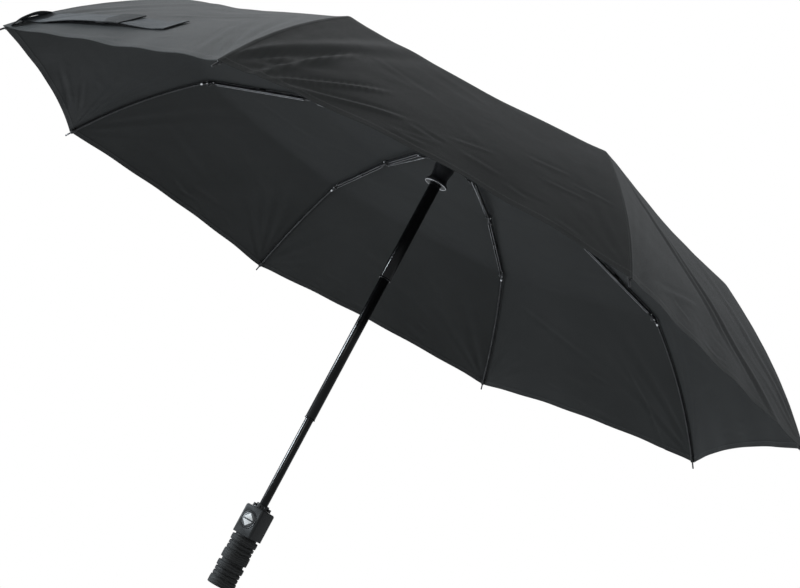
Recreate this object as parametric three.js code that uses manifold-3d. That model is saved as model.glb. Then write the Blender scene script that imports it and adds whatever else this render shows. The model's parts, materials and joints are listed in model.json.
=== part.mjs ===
// Folding umbrella with automatic opening, stored open: eight folding ribs, a three-tube shaft
// and a short handle. Millimetres. The shaft is +Z and the canopy is on top. The origin is the
// centre of the flat end of the handle, and +X points the way the push button faces.
import * as THREE from "three";
import { mergeVertices } from "three/addons/utils/BufferGeometryUtils.js";
import Module from "manifold-3d";

const wasm = await Module();
wasm.setup();

// Driving sizes
const RIBS = 8;
const FIRST_RIB = 9; // degrees from +X to the first rib
const OPEN_RADIUS = 485; // shaft to the corner of the fabric
const GAP = 0.3; // running clearance
const HOUSING_LENGTH = 33;
const HANDLE_FLATS = 25.8; // across the flats of the housing
const HANDLE_CORNER = 2.8;
const GRIP_LENGTH = 59.7;
const GRIP_RADIUS = 15.8;
const PLUG_RADIUS = 9.1;
const BUTTON_R = 8.2;
const BUTTON_DROP = 15.5; // top of the handle to the middle of the button
const LOWER_TUBE = 4.8; // outer radius of the thinnest tube
const TUBE_WALL = 0.7;
const LOWER_SHOWN = 112; // how much of each tube shows
const MIDDLE_SHOWN = 179;
const UPPER_SHOWN = 182; // up to the pivots of the crown
const TUBE_OVERLAP = 22;
const CROWN_WALL = 2.2; // outside of the upper tube to the pivots of the crown

// Rib linkage, seen from the side: elevations in degrees, lengths in mm
const TOP_RIB = 190;
const MIDDLE_RIB = 146;
const TOP_SLOPE = -4.4;
const MIDDLE_SLOPE = -10.7;
const TAIL_SLOPE = -42;
const KNUCKLE = 2.1; // how far a folding pivot stands off the middle of its rib
const STRETCHER_PIN = 86; // crown pivot to stretcher pin, along the top rib
const STRETCHER_DROP = 4; // stretcher pin below the middle of the top rib
const STRETCHER_REACH = 9.12; // stretcher pin to link pin
const LEVER = 10; // top rib's end pivot to link pin
const LEVER_ANGLE = -153.4; // from the top rib, while open
const TAIL_BOW = 8; // how far the sprung tail wire bows outwards
const RIB_WIDTH = 4;
const PIN = 0.7; // radius of the pins that the ribs turn on
const PIN_PLAY = 0.2;
const BLADE = 2.2; // width of the tongues between the cheeks
const SKIN = 0.6; // canopy thickness
const HEM_CURVE = 9; // the hem's middle stands back by this much between two ribs

// What follows from them
const HANDLE_LENGTH = GRIP_LENGTH + GAP + HOUSING_LENGTH;
const MIDDLE_TUBE = LOWER_TUBE + GAP + TUBE_WALL;
const UPPER_TUBE = MIDDLE_TUBE + GAP + TUBE_WALL;
const MIDDLE_BOTTOM = HANDLE_LENGTH + LOWER_SHOWN;
const UPPER_BOTTOM = MIDDLE_BOTTOM + MIDDLE_SHOWN;
const CROWN_PIVOT_R = UPPER_TUBE + CROWN_WALL;
const CROWN_PIVOT_Z = UPPER_BOTTOM + UPPER_SHOWN;

const up = new THREE.Vector3(0, 0, 1);
const turn = (deg) => THREE.MathUtils.degToRad(deg);
const group = new THREE.Group();
group.name = "folding_umbrella";

function solid(geometry) {
  const bare = new THREE.BufferGeometry();
  const flat = geometry.index ? geometry.toNonIndexed() : geometry;
  bare.setAttribute("position", flat.getAttribute("position"));
  const merged = mergeVertices(bare, 1e-4);
  return new wasm.Manifold(
    new wasm.Mesh({
      numProp: 3,
      vertProperties: new Float32Array(merged.attributes.position.array),
      triVerts: new Uint32Array(merged.index.array),
    }),
  );
}

function geometryOf(made) {
  if (made.isBufferGeometry) return made;
  const mesh = made.getMesh();
  const g = new THREE.BufferGeometry();
  g.setAttribute(
    "position",
    new THREE.BufferAttribute(new Float32Array(mesh.vertProperties), 3),
  );
  g.setIndex([...mesh.triVerts]);
  return g;
}

const union = (...parts) => parts.reduce((a, b) => a.add(b));

function add(name, made, color, roughness, metalness, matrix) {
  const geometry = geometryOf(made).clone();
  if (matrix) geometry.applyMatrix4(matrix);
  const flat = geometry.index ? geometry.toNonIndexed() : geometry;
  flat.computeVertexNormals();
  const material = new THREE.MeshStandardMaterial({ color, roughness, metalness });
  const mesh = new THREE.Mesh(flat, material);
  mesh.name = name;
  group.add(mesh);
  return mesh;
}

// A solid of revolution about Z. The profile is [radius, height] pairs, outside going up.
function turned(profile, segments = 24) {
  const points = profile.map(([r, z]) => new THREE.Vector2(r, z));
  const lathe = new THREE.LatheGeometry(points, segments);
  lathe.rotateX(Math.PI / 2);
  return solid(lathe);
}

const disc = (r, z0, z1, n = 24) => turned([[0, z0], [r, z0], [r, z1], [0, z1], [0, z0]], n);

// A flat plate in the plane of a rib: outline in [along, above], from side y0 to side y1.
function plate(outline, y0, y1) {
  const shape = new THREE.Shape(outline.map(([x, z]) => new THREE.Vector2(x, z)));
  const g = new THREE.ExtrudeGeometry(shape, { depth: y1 - y0, bevelEnabled: false });
  g.translate(0, 0, y0);
  return solid(g);
}
const slab = (x0, x1, z0, z1, y0, y1) =>
  plate([[x0, z0], [x1, z0], [x1, z1], [x0, z1]], y0, y1);
const twin = (outline, inner, outer) =>
  plate(outline, inner, outer).add(plate(outline, -outer, -inner));

// An upright prism over an outline in [x, y]
function upright(outline, z0, z1) {
  const shape = new THREE.Shape(outline.map(([x, y]) => new THREE.Vector2(x, y)));
  const g = new THREE.ExtrudeGeometry(shape, { depth: z1 - z0, bevelEnabled: false });
  g.translate(0, 0, z0);
  return solid(g);
}
const block = (x0, x1, y0, y1, z0, z1) =>
  upright([[x0, y0], [x1, y0], [x1, y1], [x0, y1]], z0, z1);

// Puts a piece drawn in [along, above] at a point [r, z] of a rib's plane
function placed([r, z], slope, azimuth) {
  const out = new THREE.Vector3(Math.cos(turn(azimuth)), Math.sin(turn(azimuth)), 0);
  const c = Math.cos(turn(slope));
  const s = Math.sin(turn(slope));
  const x = out.clone().multiplyScalar(c).addScaledVector(up, s);
  const y = out.clone().multiplyScalar(-s).addScaledVector(up, c);
  return new THREE.Matrix4()
    .makeBasis(x, y, x.clone().cross(y))
    .setPosition(out.clone().multiplyScalar(r).addScaledVector(up, z));
}
const spun = (deg) => new THREE.Matrix4().makeRotationZ(turn(deg));
function moved(made, matrix) {
  const g = geometryOf(made).clone();
  return solid(g.applyMatrix4(matrix));
}

// A pin across a rib's plane at [along, above], and the bore that turns on it
const pin = ([x, z], from, to, r = PIN) =>
  moved(disc(r, from, to, 8), new THREE.Matrix4().makeTranslation(x, z, 0));
const bore = (at) => pin(at, -5, 5, PIN + PIN_PLAY);

// [r, z] of a point [along, above] on a piece that starts at `from` and slopes by `slope`
const point = ([r, z], [along, above], slope) => [
  r + along * Math.cos(turn(slope)) - above * Math.sin(turn(slope)),
  z + along * Math.sin(turn(slope)) + above * Math.cos(turn(slope)),
];
const slopeOf = (a, b) => THREE.MathUtils.radToDeg(Math.atan2(b[1] - a[1], b[0] - a[0]));
const distance = (a, b) => Math.hypot(b[0] - a[0], b[1] - a[1]);

// The pivots of one rib in its own plane
const crownPin = [CROWN_PIVOT_R, CROWN_PIVOT_Z];
const stretcherPin = point(crownPin, [STRETCHER_PIN, -STRETCHER_DROP], TOP_SLOPE);
const runnerPin = [CROWN_PIVOT_R, 2 * stretcherPin[1] - CROWN_PIVOT_Z];
const stretcherSlope = slopeOf(runnerPin, stretcherPin);
const stretcherLength = distance(runnerPin, stretcherPin);
const middlePin = point(crownPin, [TOP_RIB, KNUCKLE], TOP_SLOPE);
const tailPin = point(middlePin, [MIDDLE_RIB, -2 * KNUCKLE], MIDDLE_SLOPE);
const linkInner = point(stretcherPin, [-STRETCHER_REACH, 0], stretcherSlope);
const linkOuter = point(middlePin, [LEVER, 0], TOP_SLOPE + LEVER_ANGLE);
// the tail is as long as the open radius asks for
const tailLength =
  (OPEN_RADIUS - tailPin[0] + KNUCKLE * Math.sin(turn(TAIL_SLOPE))) /
  Math.cos(turn(TAIL_SLOPE));

// Handle
const flat = HANDLE_FLATS / 2;
function rounded(half, corner, steps = 4) {
  const out = [];
  for (let q = 0; q < 4; q++)
    for (let i = 0; i <= steps; i++) {
      const a = turn(q * 90 + (i * 90) / steps);
      const cx = (half - corner) * Math.sign(Math.cos(turn(q * 90 + 45)));
      const cy = (half - corner) * Math.sign(Math.sin(turn(q * 90 + 45)));
      out.push([cx + corner * Math.cos(a), cy + corner * Math.sin(a)]);
    }
  return out;
}
const HOUSING_BOTTOM = GRIP_LENGTH + GAP;
const BUTTON_Z = HANDLE_LENGTH - BUTTON_DROP;
const RING_R = BUTTON_R + 1.6;
const boreR = LOWER_TUBE + GAP;
const facingX = new THREE.Matrix4().makeRotationY(Math.PI / 2).setPosition(0, 0, BUTTON_Z);
let housing = upright(rounded(flat, HANDLE_CORNER), HOUSING_BOTTOM, HANDLE_LENGTH - 1);
housing = housing.add(
  upright(rounded(flat - 1, HANDLE_CORNER - 1), HANDLE_LENGTH - 1.5, HANDLE_LENGTH),
);
housing = housing.subtract(disc(boreR, HOUSING_BOTTOM - 1, HANDLE_LENGTH + 1));
housing = housing.subtract(moved(disc(BUTTON_R + GAP, boreR + 2.4, flat + 3), facingX));
housing = housing.subtract(moved(disc(RING_R + GAP, flat - 0.9, flat + 3), facingX));
add("handle_housing", housing, 0x2b2d2e, 0.55, 0);

// Ribbed rubber sleeve. Each band from the bottom up is how far it stands in, how wide it is
// and how wide the groove above it is.
const bands = [[0, 9.1, 1.2], [1.2, 3.9, 1], [1.2, 3.8, 1.2], [0, 6.4, 3.6], [0, 10.2, 1.2],
  [1.2, 3.8, 1], [1.2, 3.6, 1.2], [0.2, 6.6, 1.9]];
const pitch = GRIP_LENGTH / bands.reduce((sum, [, wide, groove]) => sum + wide + groove, 0);
const plugBore = PLUG_RADIUS + GAP;
const PLUG_TOP = 2.5;
const gripProfile = [[plugBore, 0]];
let bandStart = 0;
for (const [inset, wide, groove] of bands) {
  const r = GRIP_RADIUS - inset;
  const edge = inset > 1 ? 0.5 : 1;
  const floor = groove > 3 ? r - edge - 2 : r - edge - 0.9;
  const bandEnd = bandStart + wide * pitch;
  const next = bandEnd + groove * pitch;
  gripProfile.push([r - edge, bandStart], [r, bandStart + edge], [r, bandEnd - edge],
    [r - edge, bandEnd], [floor, bandEnd + 0.1], [floor, next - 0.1]);
  bandStart = next;
}
gripProfile.pop();
gripProfile.pop();
gripProfile.push([GRIP_RADIUS - 3, bandStart - 1.6], [GRIP_RADIUS - 3, GRIP_LENGTH]);
gripProfile.push([boreR, GRIP_LENGTH], [boreR, PLUG_TOP + GAP], [plugBore, PLUG_TOP + GAP],
  [plugBore, 0]);
add("handle_grip", turned(gripProfile, 28), 0x252726, 0.8, 0);
add("end_plug", disc(PLUG_RADIUS, 0, PLUG_TOP, 28), 0x1c1d1d, 0.6, 0);

const tube = (r, z0, z1) =>
  turned([[r - TUBE_WALL, z0], [r, z0], [r, z1], [r - TUBE_WALL, z1], [r - TUBE_WALL, z0]], 20);
const button = disc(BUTTON_R, boreR + 4, flat + 0.9);
add("push_button", moved(button, facingX), 0x242627, 0.4, 0);
const ring = turned(
  [[BUTTON_R + GAP, flat - 0.6], [RING_R, flat - 0.6], [RING_R, flat + 0.2], [BUTTON_R + GAP, flat + 0.2],
    [BUTTON_R + GAP, flat - 0.6]], 24);
add("button_ring", moved(ring, facingX), 0x1f2021, 0.35, 0);

// Castellated rim on top of the housing that the rib tips rest on when folded
const rimBottom = HANDLE_LENGTH + GAP;
const rimR = flat - 1.9;
let rim = turned([[boreR, rimBottom], [rimR, rimBottom], [rimR, rimBottom + 1],
  [boreR, rimBottom + 1], [boreR, rimBottom]], 24);
const post = block(rimR - 2.8, rimR - 0.2, -1.5, 1.5, rimBottom + 0.5, rimBottom + 3.6);
for (let k = 0; k < RIBS; k++) rim = rim.add(moved(post, spun(FIRST_RIB + (k * 360) / RIBS)));
add("tip_rim", rim, 0x1b1c1c, 0.6, 0);

// Shaft
add("tube_lower", tube(LOWER_TUBE, PLUG_TOP + 3.5, MIDDLE_BOTTOM + TUBE_OVERLAP), 0x0d0d0e, 0.28, 0.6);
add("tube_middle", tube(MIDDLE_TUBE, MIDDLE_BOTTOM, UPPER_BOTTOM + TUBE_OVERLAP), 0x0d0d0e, 0.28, 0.6);
const CROWN_CAP = CROWN_PIVOT_Z + 2.8;
add("tube_upper", tube(UPPER_TUBE, UPPER_BOTTOM, CROWN_CAP - GAP), 0x0d0d0e, 0.28, 0.6);

// Crown: a cap with eight posts, and a slot for a rib between each two
const CROWN_R = CROWN_PIVOT_R + 4;
const crownBore = UPPER_TUBE + GAP;
const slotPin = RIB_WIDTH / 2 + GAP + 0.6; // half the length of a pin that spans a slot
let crown = turned([[crownBore, CROWN_PIVOT_Z - 9], [CROWN_R - 1, CROWN_PIVOT_Z - 9],
  [CROWN_R, CROWN_PIVOT_Z - 8], [CROWN_R, CROWN_CAP + 0.1], [crownBore, CROWN_CAP + 0.1],
  [crownBore, CROWN_PIVOT_Z - 9]], 32);
for (let k = 0; k < RIBS; k++) {
  const slot = block(0, 20, -RIB_WIDTH / 2 - GAP, RIB_WIDTH / 2 + GAP,
    CROWN_PIVOT_Z - 20, CROWN_CAP);
  crown = crown.subtract(moved(slot, spun(FIRST_RIB + (k * 360) / RIBS)));
}
for (let k = 0; k < RIBS; k++)
  crown = crown.add(moved(disc(PIN, -slotPin, slotPin, 8),
    placed([CROWN_PIVOT_R, CROWN_PIVOT_Z], 0, FIRST_RIB + (k * 360) / RIBS)));
crown = crown.add(turned([[0, CROWN_CAP], [CROWN_R, CROWN_CAP], [CROWN_R, CROWN_CAP + 2.6],
  [CROWN_R - 1, CROWN_CAP + 3.6], [0, CROWN_CAP + 3.6], [0, CROWN_CAP]], 32));
add("crown", crown, 0x161717, 0.5, 0);

// Runner: slotted collar, waist and flange
const runnerTop = runnerPin[1] + 3.6;
const RUNNER_DROP = 35.3; // pivots to the bottom of the flange
const flangeZ = runnerPin[1] - RUNNER_DROP;
const runnerR = CROWN_PIVOT_R + 3;
let runner = turned([[crownBore, flangeZ], [runnerR + 1.4, flangeZ], [runnerR + 2, flangeZ + 0.8],
  [runnerR + 2, flangeZ + 2.4], [runnerR - 0.8, flangeZ + 5], [runnerR - 1.8, flangeZ + 9],
  [runnerR - 1.4, flangeZ + 15], [runnerR, flangeZ + 20], [runnerR, runnerTop],
  [crownBore, runnerTop], [crownBore, flangeZ]], 32);
for (let k = 0; k < RIBS; k++) {
  const slot = block(0, 20, -BLADE / 2 - GAP, BLADE / 2 + GAP, runnerPin[1] - 2.4, runnerTop + 5);
  runner = runner.subtract(moved(slot, spun(FIRST_RIB + (k * 360) / RIBS)));
}
for (let k = 0; k < RIBS; k++)
  runner = runner.add(moved(disc(PIN, -slotPin, slotPin, 8),
    placed(runnerPin, 0, FIRST_RIB + (k * 360) / RIBS)));
add("runner", runner, 0x161717, 0.5, 0);

// Ribs. Each one is a top rib, a stretcher, a link, a middle rib and a tail rib.
const wide = RIB_WIDTH / 2;
const blade = BLADE / 2;
const cheek = blade + GAP;
const FORK = 14; // length of the forked end, where the web is cut away
const a = TOP_RIB;
let topRib = plate([[-1.6, -0.7], [-0.7, -1.7], [a - FORK, -1.7], [a - FORK, 1.7], [-0.7, 1.7],
  [-1.6, 0.7]], -wide, wide);
topRib = topRib.subtract(slab(2.4, a, -2, 1, -cheek, cheek));
const sPin = STRETCHER_PIN;
const ear = [[sPin - 3, -5.2], [sPin - 2, -6], [sPin + 2, -6], [sPin + 3, -5.2], [sPin + 3, 0],
  [sPin - 3, 0]];
const fork = [[a - FORK - 2, -1.2], [a - 3, -1.2], [a + 2.4, 0.4], [a + 2.4, 3.2], [a + 1.2, 4.3],
  [a - 1.6, 4.3], [a - 4.4, 1.7], [a - FORK - 2, 1.7]];
const head = wide + 0.5; // a pin's head stands proud on the side away from the link
topRib = union(topRib, twin(ear, cheek, wide), twin(fork, cheek, wide));
topRib = union(topRib, pin([sPin, -STRETCHER_DROP], -head, wide), pin([a, KNUCKLE], -head, wide));
topRib = topRib.subtract(bore([0, 0]));

const s = stretcherLength;
let stretcher = plate([[-1.5, -0.8], [-0.8, -1.5], [s + 0.8, -1.5], [s + 1.5, -0.8], [s + 1.5, 0.8],
  [s + 0.8, 1.5], [-0.8, 1.5], [-1.5, 0.8]], -blade, blade);
stretcher = stretcher.subtract(slab(5, s - 12, -2, 0.5, -blade + 0.5, blade - 0.5));
stretcher = stretcher.subtract(bore([0, 0])).subtract(bore([s, 0]));

const linkLength = distance(linkInner, linkOuter);
const side = wide + 0.4;
const link = union(
  slab(-1.2, linkLength + 1.2, -0.9, 0.9, side, side + 0.9),
  slab(-0.6, 0.6, -0.6, 0.6, cheek, side + 0.2),
  slab(linkLength - 0.6, linkLength + 0.6, -0.6, 0.6, cheek, side + 0.2),
);

const b = MIDDLE_RIB;
const k0 = point([0, KNUCKLE], [LEVER, 0], TOP_SLOPE + LEVER_ANGLE - MIDDLE_SLOPE);
const lever = [[k0[0] - 1.3, k0[1] + 0.5], [k0[0] - 0.8, k0[1] - 1.1], [k0[0] + 0.6, k0[1] - 1.3],
  [-0.6, -0.4], [4, -1.6], [9, -1.6], [9, 1.6], [3.6, 1.6], [1.4, 3.6], [-1.2, 3.6], [-2.4, 1.8]];
let middleRib = slab(6, b - 6, -1.6, 1.6, -wide, wide);
middleRib = middleRib.subtract(slab(8.4, b, -2, 0.9, -cheek, cheek));
const knee = [[b - 9, -1.6], [b - 4.4, -1.6], [b - 1.6, -4.3], [b + 1.2, -4.3], [b + 2.4, -3.2],
  [b + 2.4, -0.4], [b - 2, 1.6], [b - 9, 1.6]];
middleRib = union(middleRib, plate(lever, -blade, blade).subtract(bore([0, KNUCKLE])));
middleRib = union(middleRib, twin(knee, cheek, wide), pin([b, -KNUCKLE], -head, wide));

// The tail is a sprung wire in a shallow bow, with a tongue on one end and a cap on the other
const c = tailLength;
const bowed = (x) => 4 * TAIL_BOW * (x / c) * (1 - x / c);
function wire(stations, sides = 6) {
  const points = [];
  for (const [x, r] of stations) {
    const lean = Math.atan((bowed(x + 0.5) - bowed(x - 0.5)));
    for (let j = 0; j < sides; j++) {
      const a = (j * 2 * Math.PI) / sides;
      const h = r * Math.cos(a);
      points.push(x - h * Math.sin(lean), bowed(x) + h * Math.cos(lean), r * Math.sin(a));
    }
  }
  const faces = [];
  const last = (stations.length - 1) * sides;
  for (let i = 0; i < stations.length - 1; i++)
    for (let j = 0; j < sides; j++) {
      const p = i * sides + j;
      const q = i * sides + ((j + 1) % sides);
      faces.push(p, q, q + sides, p, q + sides, p + sides);
    }
  for (let j = 1; j < sides - 1; j++) faces.push(0, j + 1, j, last, last + j, last + j + 1);
  const g = new THREE.BufferGeometry();
  g.setAttribute("position", new THREE.BufferAttribute(new Float32Array(points), 3));
  g.setIndex(faces);
  return solid(g);
}
const straight = Array.from({ length: 8 }, (_, i) => [5 + ((c - 12) * i) / 7, 1.3]);
const rod = wire([...straight, [c - 6.6, 1.9], [c + 0.6, 1.9], [c + 1.2, 0.8], [c + 8.6, 0.8],
  [c + 9, 0.3]]);
const tongue = [[-1.5, -2.9], [-0.8, -3.6], [0.9, -3.6], [3.4, -1.3], [9.6, 0.2], [9.2, 2.8],
  [0.4, 1.3], [-1.5, -0.9]];
const tailRib = plate(tongue, -blade, blade).subtract(bore([0, -KNUCKLE])).add(rod);

const STEEL = [0x151515, 0.38, 0.7];
const tailFrom = point(tailPin, [0, KNUCKLE], TAIL_SLOPE);
const middleFrom = point(middlePin, [0, -KNUCKLE], MIDDLE_SLOPE);
for (let k = 0; k < RIBS; k++) {
  const at = FIRST_RIB + (k * 360) / RIBS;
  const n = k + 1;
  add(`rib_${n}_top`, topRib, ...STEEL, placed(crownPin, TOP_SLOPE, at));
  add(`rib_${n}_stretcher`, stretcher, ...STEEL, placed(runnerPin, stretcherSlope, at));
  add(`rib_${n}_link`, link, ...STEEL, placed(linkInner, slopeOf(linkInner, linkOuter), at));
  add(`rib_${n}_middle`, middleRib, ...STEEL, placed(middleFrom, MIDDLE_SLOPE, at));
  add(`rib_${n}_tail`, tailRib, ...STEEL, placed(tailFrom, TAIL_SLOPE, at));
}

// Canopy: eight gores stretched from rib to rib. Each line below is a place along a rib,
// [r, z, outward r, outward z, sag]: where the inside of the fabric is, the way it faces, and
// how far the middle of the gore is drawn in.
const tip = point(tailFrom, [c, 0], TAIL_SLOPE);
const tailFace = [Math.sin(-turn(TAIL_SLOPE)), Math.cos(turn(TAIL_SLOPE))];
const over = (along, lift) => {
  const p = point(tailFrom, [along, bowed(along) + lift], TAIL_SLOPE);
  return [p[0], p[1], ...tailFace];
};
const capTop = CROWN_CAP + 3.6;
const STEM_R = 3.8; // stem of the top cap, which goes through the fabric
const crownEdge = [CROWN_R + 1.2, capTop + GAP];
const kneeTop = [middlePin[0] - 4, middlePin[1] + 3.3];
// taut from the crown to the first knee, but for a dip
const taut = (share, dip) => [
  crownEdge[0] + share * (kneeTop[0] - crownEdge[0]),
  crownEdge[1] + share * (kneeTop[1] - crownEdge[1]) - dip,
];
const seam = [
  [STEM_R + 2 * GAP, capTop + GAP, 0, 1, 0],
  [...crownEdge, 0.1, 1, 0],
  [...taut(0.14, 3.4), 0.15, 1, 0.5],
  [...taut(0.53, 0), 0.08, 1, 1.5],
  [...kneeTop, 0.1, 1, 2.5],
  [middlePin[0] + 8, middlePin[1] + 1.9, 0.19, 0.98, 2.5],
  [(middlePin[0] + tailPin[0]) / 2, (middlePin[1] + tailPin[1]) / 2 + 3.4, 0.19, 0.98, 3],
  [tailPin[0] - 2, tailPin[1] + 5.6, 0.3, 0.95, 3],
  [tailPin[0] + 5.2, tailPin[1] + 2.9, 0.58, 0.81, 3.5],
  [...over(c * 0.25, 3.2), 5],
  [...over(c * 0.5, 3.2), 5.5],
  [...over(c * 0.75, 3.2), 6],
  [...over(c - 0.6, 2.3), 7],
];
const ACROSS = 4; // divisions of a gore

// A place on the canopy: rib number and share across the gore, place along the seam, lift
function fabric(across, along, lift) {
  const k = Math.floor(across);
  const u = across - k;
  const i = Math.min(Math.floor(along), seam.length - 2);
  const w = along - i;
  const line = seam[i].map((x, j) => x * (1 - w) + seam[i + 1][j] * w);
  const bow = 4 * u * (1 - u);
  const back = HEM_CURVE * bow * Math.max(0, (along - 8) / 4) ** 2;
  const r = line[0] - back * Math.cos(turn(TAIL_SLOPE));
  const z = line[1] - back * Math.sin(turn(TAIL_SLOPE));
  const a0 = turn(FIRST_RIB + (k * 360) / RIBS);
  const a1 = turn(FIRST_RIB + ((k + 1) * 360) / RIBS);
  const x = r * ((1 - u) * Math.cos(a0) + u * Math.cos(a1));
  const y = r * ((1 - u) * Math.sin(a0) + u * Math.sin(a1));
  const m = turn(FIRST_RIB + ((k + u) * 360) / RIBS);
  const off = lift - line[4] * bow;
  return [x + off * line[2] * Math.cos(m), y + off * line[2] * Math.sin(m), z + off * line[3]];
}

// Closes two grids of points, [row][column], into one solid. wrap joins the last column to the first.
function shell(outer, inner, wrap) {
  const rows = outer.length;
  const cols = outer[0].length;
  const points = [...outer.flat(), ...inner.flat()];
  const id = (side, i, j) => side * rows * cols + i * cols + (j % cols);
  const faces = [];
  const quad = (p, q, r, t) => faces.push(p, q, r, p, r, t);
  const last = wrap ? cols : cols - 1;
  for (let i = 0; i < rows - 1; i++)
    for (let j = 0; j < last; j++) {
      quad(id(0, i, j), id(0, i + 1, j), id(0, i + 1, j + 1), id(0, i, j + 1));
      quad(id(1, i, j), id(1, i, j + 1), id(1, i + 1, j + 1), id(1, i + 1, j));
    }
  for (let j = 0; j < last; j++) {
    quad(id(0, 0, j), id(0, 0, j + 1), id(1, 0, j + 1), id(1, 0, j));
    quad(id(0, rows - 1, j), id(1, rows - 1, j), id(1, rows - 1, j + 1), id(0, rows - 1, j + 1));
  }
  if (!wrap)
    for (let i = 0; i < rows - 1; i++) {
      quad(id(0, i, 0), id(1, i, 0), id(1, i + 1, 0), id(0, i + 1, 0));
      quad(id(0, i, last), id(0, i + 1, last), id(1, i + 1, last), id(1, i, last));
    }
  const g = new THREE.BufferGeometry();
  g.setAttribute("position", new THREE.BufferAttribute(new Float32Array(points.flat()), 3));
  g.setIndex(faces);
  return g;
}
const rowOf = (along, lift) =>
  Array.from({ length: RIBS * ACROSS }, (_, j) => fabric(j / ACROSS, along, lift));
const places = seam.map((_, i) => i);
add("canopy", shell(places.map((i) => rowOf(i, SKIN)), places.map((i) => rowOf(i, 0)), true),
  0x2f3233, 0.75, 0);

// Tie strap: a band sewn to the seam of the last rib that lies across the next gore
const STRAP = 8;
const strapRow = (i, lift) =>
  Array.from({ length: STRAP + 1 }, (_, j) => {
    const u = 0.03 + (0.57 * j) / STRAP;
    return fabric(RIBS - 1 + u, 10.81 + 0.31 * i - 1.33 * u, lift);
  });
const strapPlaces = [0, 1, 2];
add("tie_strap", shell(strapPlaces.map((i) => strapRow(i, SKIN + 1.6)),
  strapPlaces.map((i) => strapRow(i, SKIN + 0.7)), false), 0x2a2c2d, 0.8, 0);

// Top cap over the fabric
const capBase = capTop + GAP + SKIN + GAP;
add("top_cap", turned([[0, capTop + GAP], [STEM_R, capTop + GAP], [STEM_R, capBase], [11, capBase],
  [11, capBase + 1.2], [9.6, capBase + 2.4], [5, capBase + 3.6], [4.2, capBase + 5],
  [4.2, capBase + 9], [3, capBase + 11], [0, capBase + 11.6], [0, capTop + GAP]], 24),
  0x141515, 0.4, 0);

export default group;
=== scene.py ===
# Folding umbrella, open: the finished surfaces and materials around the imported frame.
import json
import math

import bpy
import numpy as np
from mathutils import Euler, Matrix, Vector


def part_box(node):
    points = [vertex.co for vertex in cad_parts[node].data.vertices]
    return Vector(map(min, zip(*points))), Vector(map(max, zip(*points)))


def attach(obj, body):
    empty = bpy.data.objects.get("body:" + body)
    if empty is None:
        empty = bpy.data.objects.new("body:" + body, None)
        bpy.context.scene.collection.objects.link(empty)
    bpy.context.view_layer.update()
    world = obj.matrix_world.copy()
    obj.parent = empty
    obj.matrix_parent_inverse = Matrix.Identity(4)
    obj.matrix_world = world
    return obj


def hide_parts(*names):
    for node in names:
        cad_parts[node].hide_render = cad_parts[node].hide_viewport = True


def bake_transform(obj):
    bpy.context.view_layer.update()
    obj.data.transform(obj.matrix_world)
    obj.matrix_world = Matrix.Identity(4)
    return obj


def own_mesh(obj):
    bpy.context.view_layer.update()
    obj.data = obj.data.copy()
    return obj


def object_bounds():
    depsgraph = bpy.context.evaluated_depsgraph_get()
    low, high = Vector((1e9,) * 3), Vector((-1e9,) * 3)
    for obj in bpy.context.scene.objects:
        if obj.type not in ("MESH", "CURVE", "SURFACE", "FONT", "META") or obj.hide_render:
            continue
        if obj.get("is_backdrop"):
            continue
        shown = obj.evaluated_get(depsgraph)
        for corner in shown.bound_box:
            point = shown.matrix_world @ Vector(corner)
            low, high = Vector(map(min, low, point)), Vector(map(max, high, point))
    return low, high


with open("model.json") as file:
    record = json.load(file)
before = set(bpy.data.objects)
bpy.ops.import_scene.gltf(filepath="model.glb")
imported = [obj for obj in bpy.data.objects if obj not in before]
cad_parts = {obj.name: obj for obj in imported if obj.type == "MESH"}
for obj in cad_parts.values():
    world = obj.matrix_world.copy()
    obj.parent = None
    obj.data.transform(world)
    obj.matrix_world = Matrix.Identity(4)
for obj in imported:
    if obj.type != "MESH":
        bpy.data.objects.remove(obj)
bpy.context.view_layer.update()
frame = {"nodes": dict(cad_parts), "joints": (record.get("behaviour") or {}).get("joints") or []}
scene = bpy.context.scene
nodes = frame["nodes"]
MM = 0.001

# ---------------------------------------------------------------------------------------------
# Camera: below the canopy and to one side, rolled so that the shaft leans in the picture.
camera_data = bpy.data.cameras.new("camera")
camera_data.lens = 59.1
camera_data.sensor_width = 36.0
camera_data.clip_start, camera_data.clip_end = 0.02, 60.0
camera = bpy.data.objects.new("camera", camera_data)
camera.location = (1.22535, 0.80385, 0.11739)
camera.rotation_euler = Euler([math.radians(d) for d in (101.366, -27.611, 117.038)], "XYZ")
scene.collection.objects.link(camera)
scene.camera = camera

# ---------------------------------------------------------------------------------------------
# Studio: a pale floor well below the handle, a white surround, and soft lamps above the canopy.
FLOOR_Z = -0.42


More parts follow.
